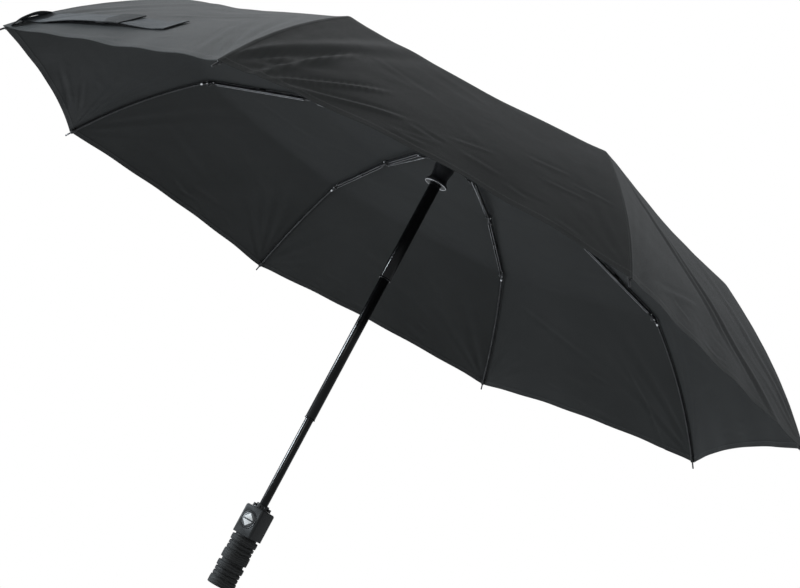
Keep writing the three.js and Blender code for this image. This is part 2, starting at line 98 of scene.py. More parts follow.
class Wiring:
    """Short hands for putting nodes into a tree and joining them."""

    def __init__(self, tree):
        self.tree = tree

    def node(self, kind, **inputs):
        made = self.tree.nodes.new(kind)
        for key, value in inputs.items():
            if hasattr(made, key) and key.islower() and key not in made.inputs:
                setattr(made, key, value)
            else:
                self.put(value, made.inputs[key.replace("_", " ")])
        return made

    def put(self, value, target):
        if isinstance(value, bpy.types.NodeSocket):
            self.tree.links.new(value, target)
        else:
            target.default_value = value

    def math(self, kind, *values, clamp=False):
        made = self.tree.nodes.new("ShaderNodeMath")
        made.operation = kind
        made.use_clamp = clamp
        for i, value in enumerate(values):
            self.put(value, made.inputs[i])
        return made.outputs[0]

    def mix(self, share, a, b):
        made = self.tree.nodes.new("ShaderNodeMix")
        made.data_type = "RGBA"
        self.put(share, made.inputs[0])
        self.put(a, made.inputs[6])
        self.put(b, made.inputs[7])
        return made.outputs[2]

    def ramp(self, value, low, high, to_low=0.0, to_high=1.0, smooth=True):
        made = self.tree.nodes.new("ShaderNodeMapRange")
        made.interpolation_type = "SMOOTHSTEP" if smooth else "LINEAR"
        for i, x in enumerate((value, low, high, to_low, to_high)):
            self.put(x, made.inputs[i])
        return made.outputs[0]

    def noise(self, scale, detail, **more):
        """Noise in the piece's own place."""
        place = self.node("ShaderNodeTexCoord").outputs["Object"]
        return self.node("ShaderNodeTexNoise", Vector=place, Scale=scale, Detail=detail, **more).outputs[0]

    def bump(self, height, strength, shader):
        """Raises the surface by a height in metres."""
        made = self.node("ShaderNodeBump", Height=height, Distance=1.0, Strength=strength)
        self.put(made.outputs[0], shader.inputs["Normal"])


scene.view_settings.view_transform = "Standard"
world = bpy.data.worlds.new("studio")
scene.world = world
world.use_nodes = True
world.node_tree.nodes.clear()
sky = Wiring(world.node_tree)
seen = sky.node("ShaderNodeBackground", Color=(1.0, 1.0, 1.0, 1.0), Strength=1.0)
lit = sky.node("ShaderNodeBackground", Color=(0.94, 0.97, 1.0, 1.0), Strength=0.52)
either = sky.node("ShaderNodeMixShader")
ray = sky.node("ShaderNodeLightPath").outputs["Is Camera Ray"]
for slot_at, value in enumerate((ray, lit.outputs[0], seen.outputs[0])):
    sky.put(value, either.inputs[slot_at])
sky.put(either.outputs[0], sky.node("ShaderNodeOutputWorld").inputs["Surface"])

floor_mesh = bpy.data.meshes.new("floor")
around = np.linspace(0, 2 * np.pi, 65)[:-1]
floor_mesh.from_pydata(
    np.column_stack((14 * np.cos(around), 14 * np.sin(around), np.full(64, FLOOR_Z))).tolist(),
    [], [list(range(64))])
floor = bpy.data.objects.new("floor", floor_mesh)
scene.collection.objects.link(floor)
floor_paint = bpy.data.materials.new("floor_paint")
floor_paint.use_nodes = True
paint = Wiring(floor_paint.node_tree)
paper = paint.tree.nodes["Principled BSDF"]
paper.inputs["Base Color"].default_value = (0.88, 0.88, 0.88, 1)
paper.inputs["Roughness"].default_value = 0.9
# The floor pales into the surround with distance from the object.
reach = paint.node("ShaderNodeVectorMath", operation="LENGTH")
paint.put(paint.node("ShaderNodeTexCoord").outputs["Object"], reach.inputs[0])
ray = paint.node("ShaderNodeLightPath").outputs["Is Camera Ray"]
far = paint.math("MULTIPLY", paint.ramp(reach.outputs["Value"], 0.7, 1.7), ray)
white = paint.node("ShaderNodeEmission")
pale_floor = paint.node("ShaderNodeMixShader")
for slot_at, value in enumerate((far, paper.outputs[0], white.outputs[0])):
    paint.put(value, pale_floor.inputs[slot_at])
paint.put(pale_floor.outputs[0], paint.tree.nodes["Material Output"].inputs["Surface"])
floor_mesh.materials.append(floor_paint)
floor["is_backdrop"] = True

for name, place, aim, size, power, tint in (
        ("key", (1.5, -2.6, 0.66), (0.3, -0.1, 0.45), 0.9, 120, (0.84, 0.93, 1.0)),
        ("top", (-0.2, -1.7, 2.5), (0, 0, 0.4), 2.2, 9, (1.0, 1.0, 1.0)),
        ("front", (2.9, 0.3, 0.9), (0.3, 0.1, 0.45), 1.0, 9, (1.0, 1.0, 0.98))):
    lamp_data = bpy.data.lights.new(name, "AREA")
    lamp_data.shape = "DISK"
    lamp_data.size = size
    lamp_data.energy = power
    lamp_data.color = tint
    lamp = bpy.data.objects.new(name, lamp_data)
    lamp.location = place
    lamp.rotation_euler = (Vector(aim) - Vector(place)).to_track_quat("-Z", "Y").to_euler()
    scene.collection.objects.link(lamp)

# ---------------------------------------------------------------------------------------------
# Canopy cloth: one thin woven polyester sheet in eight gores. Each seam lies over a rib, and the
# cloth is stretched from seam to seam. The mesh parts at the ribs' joints, where the cloth folds.
joint_at = {j["name"]: Vector(j["pos_m"]) for j in frame["joints"] if j.get("pos_m")}
RIBS = 8
FIRST = math.atan2(joint_at["rib_1_fold"].y, joint_at["rib_1_fold"].x)


def in_rib_plane(joint):
    """(distance from the shaft, height) of a joint of the first rib, in metres."""
    p = joint_at[joint]
    return np.array([math.hypot(p.x, p.y), p.z])


crown_pin = in_rib_plane("rib_1_fold")
knee_pin = in_rib_plane("rib_1_middle_turn")
elbow_pin = in_rib_plane("rib_1_tail_turn")
crown_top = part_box("canopy")[1].z
CORNER = 0.485
TAIL_SLOPE = math.radians(-42.0)
TAIL_BOW = 8.0
CLOTH = 0.35 * MM
SAG = 5.5 * MM
HEM_BACK = {0: 18.0 * MM, 2: 11 * MM, 3: 11 * MM}
tail_way = np.array([math.cos(TAIL_SLOPE), math.sin(TAIL_SLOPE)])
tail_side = np.array([-tail_way[1], tail_way[0]])
tail_long = (CORNER + 0.2 * MM - elbow_pin[0]) / tail_way[0]


def seam_line():
    """Outside of the cloth over a rib: straight runs between its supports, from the crown over
    both joints to the tip, rounded by a running average 5 mm wide."""
    run = lambda t, lift: (elbow_pin + tail_way * t * tail_long
                           + tail_side * (lift + 4 * TAIL_BOW * t * (1 - t)) * MM)
    knots = np.array([
        (4.6 * MM, crown_top - 0.2 * MM), (13.5 * MM, crown_top - 0.3 * MM), (40 * MM, crown_top - 5.2 * MM),
        (110 * MM, crown_pin[1] - 1.0 * MM), knee_pin + (-4 * MM, 4.0 * MM), knee_pin + (8 * MM, 2.6 * MM),
        (knee_pin + elbow_pin) / 2 + (0, 4.2 * MM), elbow_pin + (-2 * MM, 6.6 * MM),
        elbow_pin + (5.8 * MM, 4.4 * MM), run(0.15, 6.2), run(0.3, 6.0), run(0.45, 6.0), run(0.6, 6.0),
        run(0.75, 5.8), run(0.9, 5.3), run(1.0, 4.8)])
    step = np.r_[0, np.cumsum(np.hypot(*np.diff(knots, axis=0).T))]
    fine = np.arange(0, step[-1], MM)
    fine = np.r_[fine, step[-1]]
    line = np.column_stack([np.interp(fine, step, knots[:, i]) for i in (0, 1)])
    reach = 12
    window = np.exp(-0.5 * (np.arange(-reach, reach + 1) / 4.0) ** 2)
    window /= window.sum()
    before = 2 * line[0] - line[reach:0:-1]
    after = 2 * line[-1] - line[-2:-reach - 2:-1]
    full = np.vstack((before, line, after))
    return np.column_stack([np.convolve(full[:, i], window, "valid") for i in (0, 1)])


seam = seam_line()
seam_long = np.r_[0, np.cumsum(np.hypot(*np.diff(seam, axis=0).T))]
SEAM_LENGTH = seam_long[-1]


def place_along(radius):
    """Length along the seam line at a distance from the shaft."""
    return float(np.interp(radius, seam[:, 0], seam_long))


WEDGE_START = place_along(12 * MM)
WEDGE_END = place_along(42 * MM)
KNEE = place_along(knee_pin[0] + 1 * MM)
ELBOW = place_along(elbow_pin[0] + 2 * MM)


def crease(x, y, at, way, long, wide, high):
    """One fold in the cloth: a ridge along a line and a shallower trough beside it, which fade
    towards both ends of the line. way is its direction in degrees from the hem."""
    c, d = math.cos(math.radians(way)), math.sin(math.radians(way))
    along = (x - at[0]) * c + (y - at[1]) * d
    off = ((y - at[1]) * c - (x - at[0]) * d) / wide
    return high * np.exp(-(along / long) ** 4) * (np.exp(-off ** 2) - 0.55 * np.exp(-(off - 1.7) ** 2))


def tip_folds(across, from_tip, chance, force):
    """Creases that fan out of a tip: each is a ridge along a ray from the tip, widening and
    dying out with distance, between two shallower troughs."""
    reach = np.hypot(across, from_tip)
    angle = np.arctan2(across, from_tip)
    lift = np.zeros_like(across)
    for n in range(4):
        ray = math.radians(9 + 13 * n + chance.uniform(-4, 4))
        long = chance.uniform(0.10, 0.25) * (1.3 if n == 1 else 0.85)
        high = chance.uniform(0.6, 1.2) * MM * (1.5 if n in (0, 1) else 0.8) * force
        width = 2.2 * MM + 0.050 * reach
        off = reach * np.sin(angle - ray) / width
        fade = np.clip(reach / 0.03, 0, 1) * np.clip(1 - reach / long, 0, 1) ** 1.3
        lift += high * fade * (np.exp(-off ** 2) - 0.6 * np.exp(-(off - 1.7) ** 2)
                               - 0.6 * np.exp(-(off + 1.7) ** 2))
    return lift


# How strongly the cloth creases at the two tips of each gore, and the folds that stand out:
# (share across, mm from the hem, direction, half length, half width, height)
TIP_PULL = {0: (2.1, 0.5), 1: (0.7, 1.1), 2: (1.0, 0.9), 3: (1.5, 0.9), 6: (1.3, 1.0), 7: (1.1, 1.3)}
LONG_FOLDS = {
    0: ((0.15, 52, 64, 62, 3.4, 2.6), (0.22, 36, 40, 50, 3.2, 2.0), (0.28, 22, 22, 46, 3.4, 1.6),
        (0.80, 66, 8, 20, 2.4, 0.6), (0.86, 84, 4, 18, 2.4, 0.6), (0.74, 92, 10, 20, 3, 0.5)),
    1: ((0.62, 70, 140, 110, 5, 1.5), (0.44, 110, 138, 100, 5, 1.2), (0.30, 40, 20, 50, 4, 0.9)),
    3: ((0.20, 48, 58, 62, 2.6, 1.2), (0.62, 120, 24, 60, 5, 0.8)),
    6: ((0.42, 16, 6, 60, 3.4, 1.1), (0.30, 30, 12, 40, 3, 0.8)),
    7: ((0.55, 120, 20, 60, 6, 0.9), (0.80, 60, 120, 50, 4, 1.0))}


def cloth_relief(x, y, wide, gore):
    """How far the cloth stands off its taut shape: folds, hem waves and puckers. x is measured
    across from the middle of the gore, y from the hem, and wide is the gore's width there."""
    chance = np.random.default_rng(40 + gore)
    pull = TIP_PULL.get(gore, (0.9, 0.9))
    lift = tip_folds(x + wide / 2, y, chance, pull[0]) + tip_folds(wide / 2 - x, y, chance, pull[1])
    full = 2 * seam[-1, 0] * math.sin(np.pi / RIBS)
    for share, from_hem, way, long, broad, high in LONG_FOLDS.get(gore, ()):
        lift += crease(x, y, ((share - 0.5) * full, from_hem * MM), way, long * MM, broad * MM, high * MM)
    for n in range(7):
        at = (chance.uniform(-0.09, 0.09), chance.uniform(0.03, 0.30))
        lift += crease(x, y, at, chance.uniform(-40, 40), chance.uniform(0.02, 0.07),
                       chance.uniform(4, 8) * MM, chance.uniform(0.1, 0.35) * MM)
    for n in range(5):
        way, wave = chance.uniform(0, np.pi), chance.uniform(0.06, 0.16)
        lift += np.sin(2 * np.pi * (x * math.cos(way) + y * math.sin(way)) / wave
                       + chance.uniform(0, 2 * np.pi)) * wave * 1.9 * MM
    near_hem = np.exp(-y / 0.03)
    lift += 0.8 * MM * np.sin(2 * np.pi * x / 0.083 + chance.uniform(0, 6)) * near_hem
    # short puckers that run with the hem
    for n in range(20 if gore == 0 else 9):
        at = (chance.normal(0.10 if gore == 0 else 0.0, 0.33) * full / 2, 0.007 + chance.exponential(0.016))
        lift += crease(x, y, at, chance.uniform(-16, 20), chance.uniform(0.007, 0.019),
                       chance.uniform(2.2, 4.2) * MM, chance.uniform(-0.3, 0.5) * MM)
    return lift


def gore_points(gore, s, u, lift=0.0):
    """Points of a gore. s is the length along the seam, u is 0 at one seam and 1 at the next. A
    point lies on the straight chord between both seams, drawn in by the sag, which is greatest
    half way, with the relief of the cloth added along the surface's own outward direction."""
    bow = 4 * u * (1 - u)
    down = np.clip((s - ELBOW) / (SEAM_LENGTH - ELBOW), 0, 1)
    t = s - HEM_BACK.get(gore, 9 * MM) * bow * down ** 2
    r = np.interp(t, seam_long, seam[:, 0])
    z = np.interp(t, seam_long, seam[:, 1])
    slope_r = np.gradient(seam[:, 0], seam_long)
    slope_z = np.gradient(seam[:, 1], seam_long)
    out_r, out_z = -np.interp(t, seam_long, slope_z), np.interp(t, seam_long, slope_r)
    a0 = FIRST + gore * 2 * np.pi / RIBS
    a1 = a0 + 2 * np.pi / RIBS
    x = r * ((1 - u) * math.cos(a0) + u * math.cos(a1))
    y = r * ((1 - u) * math.sin(a0) + u * math.sin(a1))
    wide = 2 * r * math.sin(np.pi / RIBS)
    sag = SAG * bow * np.clip(s / SEAM_LENGTH, 0, 1) * (1 - 0.75 * down * (gore == 0))
    calm = np.clip(wide * np.minimum(u, 1 - u) / 0.016, 0, 1) * np.clip((s - 0.03) / 0.1, 0, 1)
    relief = cloth_relief((u - 0.5) * wide, SEAM_LENGTH - s, wide, gore)
    off = lift - sag + relief * calm
    mid = a0 + u * (a1 - a0)
    return np.stack((x + off * out_r * np.cos(mid), y + off * out_r * np.sin(mid), z + off * out_z), -1)


def grid_normals(p):
    """Outward unit normals of a grid of points, from the two directions of the grid."""
    down = np.gradient(p, axis=0)
    over = np.gradient(p, axis=1)
    n = np.cross(down, over)
    return n / np.maximum(np.linalg.norm(n, axis=-1, keepdims=True), 1e-12)


def spaced(*stops):
    """Rows from stop to stop, [place, count of steps to the next]."""
    rows = [np.linspace(a, b, n, endpoint=False) for (a, n), (b, _) in zip(stops, stops[1:])]
    return np.concatenate(rows + [np.array([stops[-1][0]])])


HEM = 7.0 * MM
rows = spaced((0.0, 3), (WEDGE_START, 12), (WEDGE_END, 36), (KNEE, 44), (ELBOW, 56),
              (SEAM_LENGTH - 60 * MM, 30), (SEAM_LENGTH - HEM - 0.6 * MM, 1), (SEAM_LENGTH - HEM, 5),
              (SEAM_LENGTH, 0))
half = 0.5 * np.linspace(0, 1, 37) ** 1.1
share = np.concatenate((half, 1 - half[-2::-1]))
row_at = lambda place: int(np.argmin(np.abs(rows - place)))
hem_lift = np.interp(SEAM_LENGTH - rows, [0, HEM, HEM + 0.6 * MM], [0.5 * MM, 0.5 * MM, 0])[:, None]
gores = []
for gore in range(RIBS):
    outer = gore_points(gore, *np.meshgrid(rows, share, indexing="ij"))
    normal = grid_normals(outer)
    inner = outer - normal * (CLOTH + hem_lift)[..., None]
    gores.append((outer, inner, normal))


def sheet_mesh(name, tops, unders, normals, across, along, from_hem, materials):
    """A closed thin shell over a grid of points: outer face, inner face and rim. The normals are
    the gore's own, so that neighbouring pieces shade as one cloth."""
    n, m = tops.shape[:2]
    ids = np.arange(n * m).reshape(n, m)
    quads = np.stack((ids[:-1, :-1], ids[1:, :-1], ids[1:, 1:], ids[:-1, 1:]), -1).reshape(-1, 4)
    under = quads[:, ::-1] + n * m
    ring = np.concatenate((ids[0, :], ids[1:, -1], ids[-1, -2::-1], ids[-2:0:-1, 0]))
    turn = np.roll(ring, -1)
    rim = np.stack((ring, turn, turn + n * m, ring + n * m), -1)
    points = np.concatenate((tops.reshape(-1, 3), unders.reshape(-1, 3)))
    facing = np.concatenate((normals.reshape(-1, 3), -normals.reshape(-1, 3)))
    faces = np.concatenate((quads, under, rim))
    mesh = bpy.data.meshes.new(name)
    mesh.from_pydata(points.tolist(), [], faces.tolist())
    loops = faces.reshape(-1)
    uv = np.stack((np.tile(across.reshape(-1), 2), np.tile(along.reshape(-1), 2)), -1)
    layer = mesh.uv_layers.new(name="cut")
    layer.data.foreach_set("uv", uv[loops].astype(np.float32).ravel())
    hem_value = mesh.attributes.new("from_hem", "FLOAT", "POINT")
    hem_value.data.foreach_set("value", np.tile(from_hem.reshape(-1), 2).astype(np.float32))
    mesh.polygons.foreach_set("use_smooth", np.ones(len(faces), bool))
    kind = np.r_[np.zeros(len(quads)), np.ones(len(under)), np.zeros(len(rim))].astype(np.int32)
    mesh.polygons.foreach_set("material_index", kind)
    for material in materials:
        mesh.materials.append(material)
    custom = facing[loops]
    p = points[rim]
    flat_rim = np.cross(p[:, 2] - p[:, 0], p[:, 3] - p[:, 1])
    flat_rim /= np.maximum(np.linalg.norm(flat_rim, axis=1, keepdims=True), 1e-12)
    custom[len(quads) * 8:] = np.repeat(flat_rim, 4, axis=0)
    mesh.normals_split_custom_set(custom.tolist())
    piece = bpy.data.objects.new(name, mesh)
    scene.collection.objects.link(piece)
    return piece


def socket(group, name, kind, way, value=None):
    """One input or output of a node group."""
    made = group.interface.new_socket(name=name, in_out=way, socket_type=kind)
    if value is not None:
        made.default_value = value
    return made


def new_group(name, inputs, outputs):
    """A node group with named inputs (name, kind, value) and outputs (name, kind)."""
    group = bpy.data.node_groups.new(name, "ShaderNodeTree")
    for label, kind, value in inputs:
        socket(group, label, kind, "INPUT", value)
    for label, kind in outputs:
        socket(group, label, kind, "OUTPUT")
    wires = Wiring(group)
    return group, wires, wires.node("NodeGroupInput"), wires.node("NodeGroupOutput")


FLOAT, VECTOR = "NodeSocketFloat", "NodeSocketVector"


def weave_group():
    """Plain weave: threads both ways, over and under in turn, with slubs that vary the shade."""
    group, w, given, made = new_group(
        "weave", [("Place", VECTOR, None), ("Thread", FLOAT, 0.0006)],
        [("Height", FLOAT), ("Shade", FLOAT)])
    part = w.node("ShaderNodeSeparateXYZ", Vector=given.outputs["Place"])
    x = w.math("DIVIDE", part.outputs[0], given.outputs["Thread"])
    y = w.math("DIVIDE", part.outputs[1], given.outputs["Thread"])
    warp = w.math("ABSOLUTE", w.math("SINE", w.math("MULTIPLY", x, math.pi)))
    weft = w.math("ABSOLUTE", w.math("SINE", w.math("MULTIPLY", y, math.pi)))
    turn = w.math("ADD", w.math("FLOOR", x), w.math("FLOOR", y))
    over = w.math("MODULO", w.math("ABSOLUTE", turn), 2.0)
    under = w.math("SUBTRACT", 1.0, over)
    height = w.math("ADD", w.math("MULTIPLY", warp, over), w.math("MULTIPLY", weft, under))
    w.put(height, made.inputs["Height"])
    stretched = w.node("ShaderNodeVectorMath", operation="MULTIPLY")
    w.put(given.outputs["Place"], stretched.inputs[0])
    w.put((1.0, 6.0, 1.0), stretched.inputs[1])
    slub = w.node("ShaderNodeTexNoise", Vector=stretched.outputs[0], Scale=260.0, Detail=3.0)
    speck = w.node("ShaderNodeTexNoise", Vector=given.outputs["Place"], Scale=900.0, Detail=1.0)
    shade = w.math("ADD", w.math("MULTIPLY", slub.outputs[0], 0.5), w.math("MULTIPLY", speck.outputs[0], 0.5))
    w.put(shade, made.inputs["Shade"])
    return group


def stitch_group():
    """A row of stitches: dashes of thread at a set distance from a line."""
    group, w, given, made = new_group(
        "stitches", [("Off", FLOAT, 0.0), ("Along", FLOAT, 0.0), ("Distance", FLOAT, 0.002),
                     ("Pitch", FLOAT, 0.003), ("Width", FLOAT, 0.0004)], [("Mask", FLOAT)])
    away = w.math("ABSOLUTE", w.math("SUBTRACT", w.math("ABSOLUTE", given.outputs["Off"]),
                                     given.outputs["Distance"]))
    line = w.ramp(away, w.math("MULTIPLY", given.outputs["Width"], 0.6), given.outputs["Width"], 1.0, 0.0)
    beat = w.math("FRACT", w.math("DIVIDE", given.outputs["Along"], given.outputs["Pitch"]))
    dash = w.ramp(w.math("ABSOLUTE", w.math("SUBTRACT", beat, 0.5)), 0.3, 0.38, 1.0, 0.0)
    w.put(w.math("MULTIPLY", line, dash), made.inputs["Mask"])
    return group


weave = weave_group()
stitches = stitch_group()


def new_material(name, rough, metal=0.0, specular=0.5, **plain):
    """An empty material with its Principled shader, and the wiring to fill it."""
    material = bpy.data.materials.new(name)
    material.use_nodes = True
    shader = material.node_tree.nodes["Principled BSDF"]
    shader.inputs["Roughness"].default_value = rough
    shader.inputs["Metallic"].default_value = metal
    shader.inputs["Specular IOR Level"].default_value = specular
    for key, value in plain.items():
        shader.inputs[key.replace("_", " ")].default_value = value
    return material, Wiring(material.node_tree), shader


def cloth_material(name, base, light, rough, specular, sheen, speckle, inside):
    """Woven polyester with a seam over each rib, a turned hem and two rows of stitching."""
    material, w, shader = new_material(name, rough, 0.0, specular, Sheen_Weight=sheen,
                                       Sheen_Roughness=0.45, Sheen_Tint=(0.75, 0.8, 0.86, 1))
    cut = w.node("ShaderNodeUVMap", uv_map="cut")
    hem = w.node("ShaderNodeAttribute", attribute_name="from_hem")
    threads = w.node("ShaderNodeGroup", node_tree=weave, Place=cut.outputs[0], Thread=0.00055)
    place = w.node("ShaderNodeSeparateXYZ", Vector=cut.outputs[0])
    seam_row = w.node("ShaderNodeGroup", node_tree=stitches, Off=place.outputs[0],
                      Along=place.outputs[1], Distance=0.0024 if inside else 0.0012)
    hem_row = w.node("ShaderNodeGroup", node_tree=stitches, Off=hem.outputs["Fac"],
                     Along=place.outputs[0], Distance=0.0058)
    thread = w.math("MAXIMUM", seam_row.outputs[0], hem_row.outputs[0])
    cloud = w.noise(7.0, 4.0, Roughness=0.6)
    tone = w.math("ADD", w.math("MULTIPLY", threads.outputs["Shade"], speckle),
                  w.math("MULTIPLY", cloud, 0.35))
    tone = w.ramp(tone, 0.1, 0.35 + speckle * 0.8, 0.0, 1.0)
    colour = w.mix(tone, base, light)
    off = w.math("ABSOLUTE", place.outputs[0])
    band = w.ramp(off, 0.0026, 0.0034, 1.0, 0.0)
    gap = w.ramp(off, 0.0002, 0.0007, 1.0, 0.0)
    # painted shade: the middle line of each seam, the groove where the panels meet, is darkened
    groove_shade = tuple(c * 0.45 for c in base[:3]) + (1,)
    pale = tuple(min(1, c * 2.1) for c in light[:3]) + (1,)
    colour = w.mix(w.math("MULTIPLY", gap, 0.75), colour, groove_shade)
    colour = w.mix(w.math("MULTIPLY", thread, 0.7), colour, pale)
    w.put(colour, shader.inputs["Base Color"])
    fine = w.noise(42.0, 5.0, Roughness=0.62)
    turned = w.ramp(hem.outputs["Fac"], 0.0066, 0.0074, 1.0, 0.0)
    raised = w.math("ADD", w.math("MULTIPLY", band, 0.00035), w.math("MULTIPLY", turned, 0.0002))
    for more, high in ((gap, -0.0004), (thread, 0.00018), (threads.outputs["Height"], 0.00004),
                       (fine, 0.0006)):
        raised = w.math("ADD", raised, w.math("MULTIPLY", more, high))
    w.bump(raised, 0.8, shader)
    gloss = w.ramp(threads.outputs["Shade"], 0.3, 0.7, rough - 0.06, rough + 0.08)
    w.put(gloss, shader.inputs["Roughness"])
    return material


outside = cloth_material("canopy_outside", (0.0165, 0.0173, 0.0170, 1), (0.027, 0.0282, 0.0276, 1),
                         0.5, 0.16, 0.04, 0.32, False)
inside = cloth_material("canopy_inside", (0.0120, 0.0126, 0.0124, 1), (0.0285, 0.0293, 0.0288, 1),
                        0.74, 0.2, 0.04, 0.75, True)

half_count = len(half)
chord = 2 * np.interp(rows, seam_long, seam[:, 0]) * math.sin(np.pi / RIBS)
across_half = chord[:, None] * half[None, :]
along_half = np.repeat(rows[:, None], half_count, axis=1)
hem_half = np.repeat((SEAM_LENGTH - rows)[:, None], half_count, axis=1)
SECTIONS = (("inner", "top", WEDGE_END, KNEE, 0.15), ("middle", "middle", KNEE, ELBOW, 0.06),
            ("tail", "tail", ELBOW, SEAM_LENGTH, 0.07))


def declare_cloth(tops):
    """Adds up the area of a piece of the canopy's cut from its grid of points; the area is not kept."""
    a, b, c, d = tops[:-1, :-1], tops[1:, :-1], tops[1:, 1:], tops[:-1, 1:]
    halves = (np.linalg.norm(np.cross(p - a, q - a), axis=-1) for p, q in ((b, c), (c, d)))
    area = sum(halves).sum() / 2


def half_gore(k, side):
    """Half of a gore beside rib k: side 0 is the half before the rib, and 1 the half after it."""
    outer, inner, normal = gores[(k - 2 + side) % RIBS]
    if side:
        return [g[:, :half_count] for g in (outer, inner, normal)] + [across_half]
    return [g[:, half_count - 1:] for g in (outer, inner, normal)] + [-across_half[:, ::-1]]


for k in range(1, RIBS + 1):
    for side in (0, 1):
        outer, inner, normal, across = half_gore(k, side)
        for part, carried_by, start, end, keep in SECTIONS:
            i, j = row_at(start), row_at(end) + 1
            name = f"canopy_{k}_{part}_{'ab'[side]}"
            piece = sheet_mesh(name, outer[i:j], inner[i:j], normal[i:j], across[i:j],
                               along_half[i:j], hem_half[i:j], (outside, inside))
            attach(piece, f"rib_{k}_{carried_by}")
            rib = 0 if side else -1
            far = -1 if side else 0
            lengthways = outer[j - 1, rib] - outer[i, rib]
            lengthways /= np.linalg.norm(lengthways)
            over = outer[j - 1, far] - outer[j - 1, rib]
            over -= (over @ lengthways) * lengthways
            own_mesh(piece)
            declare_cloth(outer[i:j])
    left, right = half_gore(k, 0), half_gore(k, 1)
    i, j = row_at(WEDGE_START), row_at(WEDGE_END) + 1
    wedge = [np.concatenate((a[i:j], b[i:j, 1:]), axis=1) for a, b in zip(left, right)]
    long_grid = np.repeat(rows[i:j, None], wedge[0].shape[1], axis=1)
    piece = sheet_mesh(f"canopy_{k}_crown", wedge[0], wedge[1], wedge[2], wedge[3], long_grid,
                       SEAM_LENGTH - long_grid, (outside, inside))
    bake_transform(piece)
    declare_cloth(wedge[0])

i = row_at(WEDGE_START) + 1
ring_top = np.concatenate([g[0][:i, :-1] for g in gores] + [gores[0][0][:i, :1]], axis=1)
ring_under = np.concatenate([g[1][:i, :-1] for g in gores] + [gores[0][1][:i, :1]], axis=1)
ring_normal = np.concatenate([g[2][:i, :-1] for g in gores] + [gores[0][2][:i, :1]], axis=1)
ring_long = np.repeat(rows[:i, None], ring_top.shape[1], axis=1)
ring_across = ring_long * np.linspace(0, 2 * np.pi, ring_top.shape[1])[None, :]
centre_cloth = sheet_mesh("canopy_centre", ring_top, ring_under, ring_normal, ring_across, ring_long,
                          SEAM_LENGTH - ring_long, (outside, inside))
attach(centre_cloth, "upper_tube")
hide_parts("canopy")

# ---------------------------------------------------------------------------------------------
# Tie strap: a doubled band of the canopy's cloth sewn to the seam of the last rib. It lies loose
# across the gore, with a patch of hook tape on its free end and a short loop at the tip.
STRAP_GORE = RIBS - 1
# Shares of the tail: where the strap starts, its width, and how far it slants across the gore
STRAP_START, STRAP_WIDE, STRAP_SLANT = 0.77, 0.155, 0.3325
strap_cloth = cloth_material("strap_fabric", (0.017, 0.019, 0.020, 1), (0.028, 0.030, 0.032, 1),
                             0.62, 0.3, 0.08, 0.4, False)
hook_tape, w, shader = new_material("hook_tape", 0.85, 0.0, 0.25, Sheen_Weight=0.1)
cut = w.node("ShaderNodeUVMap", uv_map="cut")
hooks = w.node("ShaderNodeTexVoronoi", Vector=cut.outputs[0], Scale=900.0)
# painted shade: the tape is darker between the hooks, where it lies lower
w.put(w.mix(w.ramp(hooks.outputs[0], 0.1, 0.6), (0.007, 0.007, 0.008, 1), (0.002, 0.002, 0.002, 1)),
      shader.inputs["Base Color"])
w.bump(w.math("MULTIPLY", hooks.outputs[0], -0.0006), 0.9, shader)


def strap_strip(name, u_ends, across_ends, lift, arch, thick, count, material, edge=0.0):
    """A strip of the strap. One parameter runs along it and one across its width; each point
    lies on the gore below it, raised by the lift and by an arch that is highest half way along."""
    p, q = np.meshgrid(np.linspace(0, 1, count), np.linspace(0, 1, 13), indexing="ij")
    u = u_ends[0] + (u_ends[1] - u_ends[0]) * p
    band = across_ends[0] + (across_ends[1] - across_ends[0]) * q
    place = STRAP_START + STRAP_WIDE * band - STRAP_SLANT * u
    s = ELBOW + (SEAM_LENGTH - ELBOW) * place
    rise = lift + arch * np.sin(np.pi * p) ** 2 * (0.55 + 0.45 * q) + edge * (q * (1 - q) * 4)
    top = gore_points(STRAP_GORE, s, u, rise)
    normal = np.swapaxes(grid_normals(np.swapaxes(top, 0, 1)), 0, 1)
    under = top - normal * thick
    steps = np.linalg.norm(np.diff(top, axis=0), axis=-1)
    along = np.concatenate((np.zeros((1, 13)), np.cumsum(steps, axis=0)))
    steps = np.linalg.norm(np.diff(top, axis=1), axis=-1)
    across = np.concatenate((np.zeros((count, 1)), np.cumsum(steps, axis=1)), axis=1)
    turned = [np.swapaxes(g, 0, 1) for g in (top, under, normal)]
    edge_far = np.minimum(across, across[:, -1:] - across)
    made = sheet_mesh(name, *turned, across.T + 0.02, along.T, edge_far.T, (material, material))
    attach(made, f"rib_{RIBS}_tail")
    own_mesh(made)
    return made


outer, _, _, _ = half_gore(RIBS, 1)
i, j = row_at(ELBOW), row_at(SEAM_LENGTH)
lengthways = outer[j, 0] - outer[i, 0]
lengthways /= np.linalg.norm(lengthways)
over = outer[j, -1] - outer[j, 0]
over -= (over @ lengthways) * lengthways
strap_band = strap_strip("strap_band", (0.012, 0.56), (0.0, 1.0), 1.3 * MM, 4.0 * MM, 0.6 * MM, 60,
                         strap_cloth)
strap_strip("strap_hook_patch", (0.31, 0.40), (-0.04, 1.04), 4.6 * MM, 0.6 * MM, 0.9 * MM, 16,
                          hook_tape)
strap_strip("strap_end_binding", (0.535, 0.572), (-0.03, 1.03), 2.0 * MM, 0.0, 0.9 * MM, 8,
                           strap_cloth)
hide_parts("tie_strap")


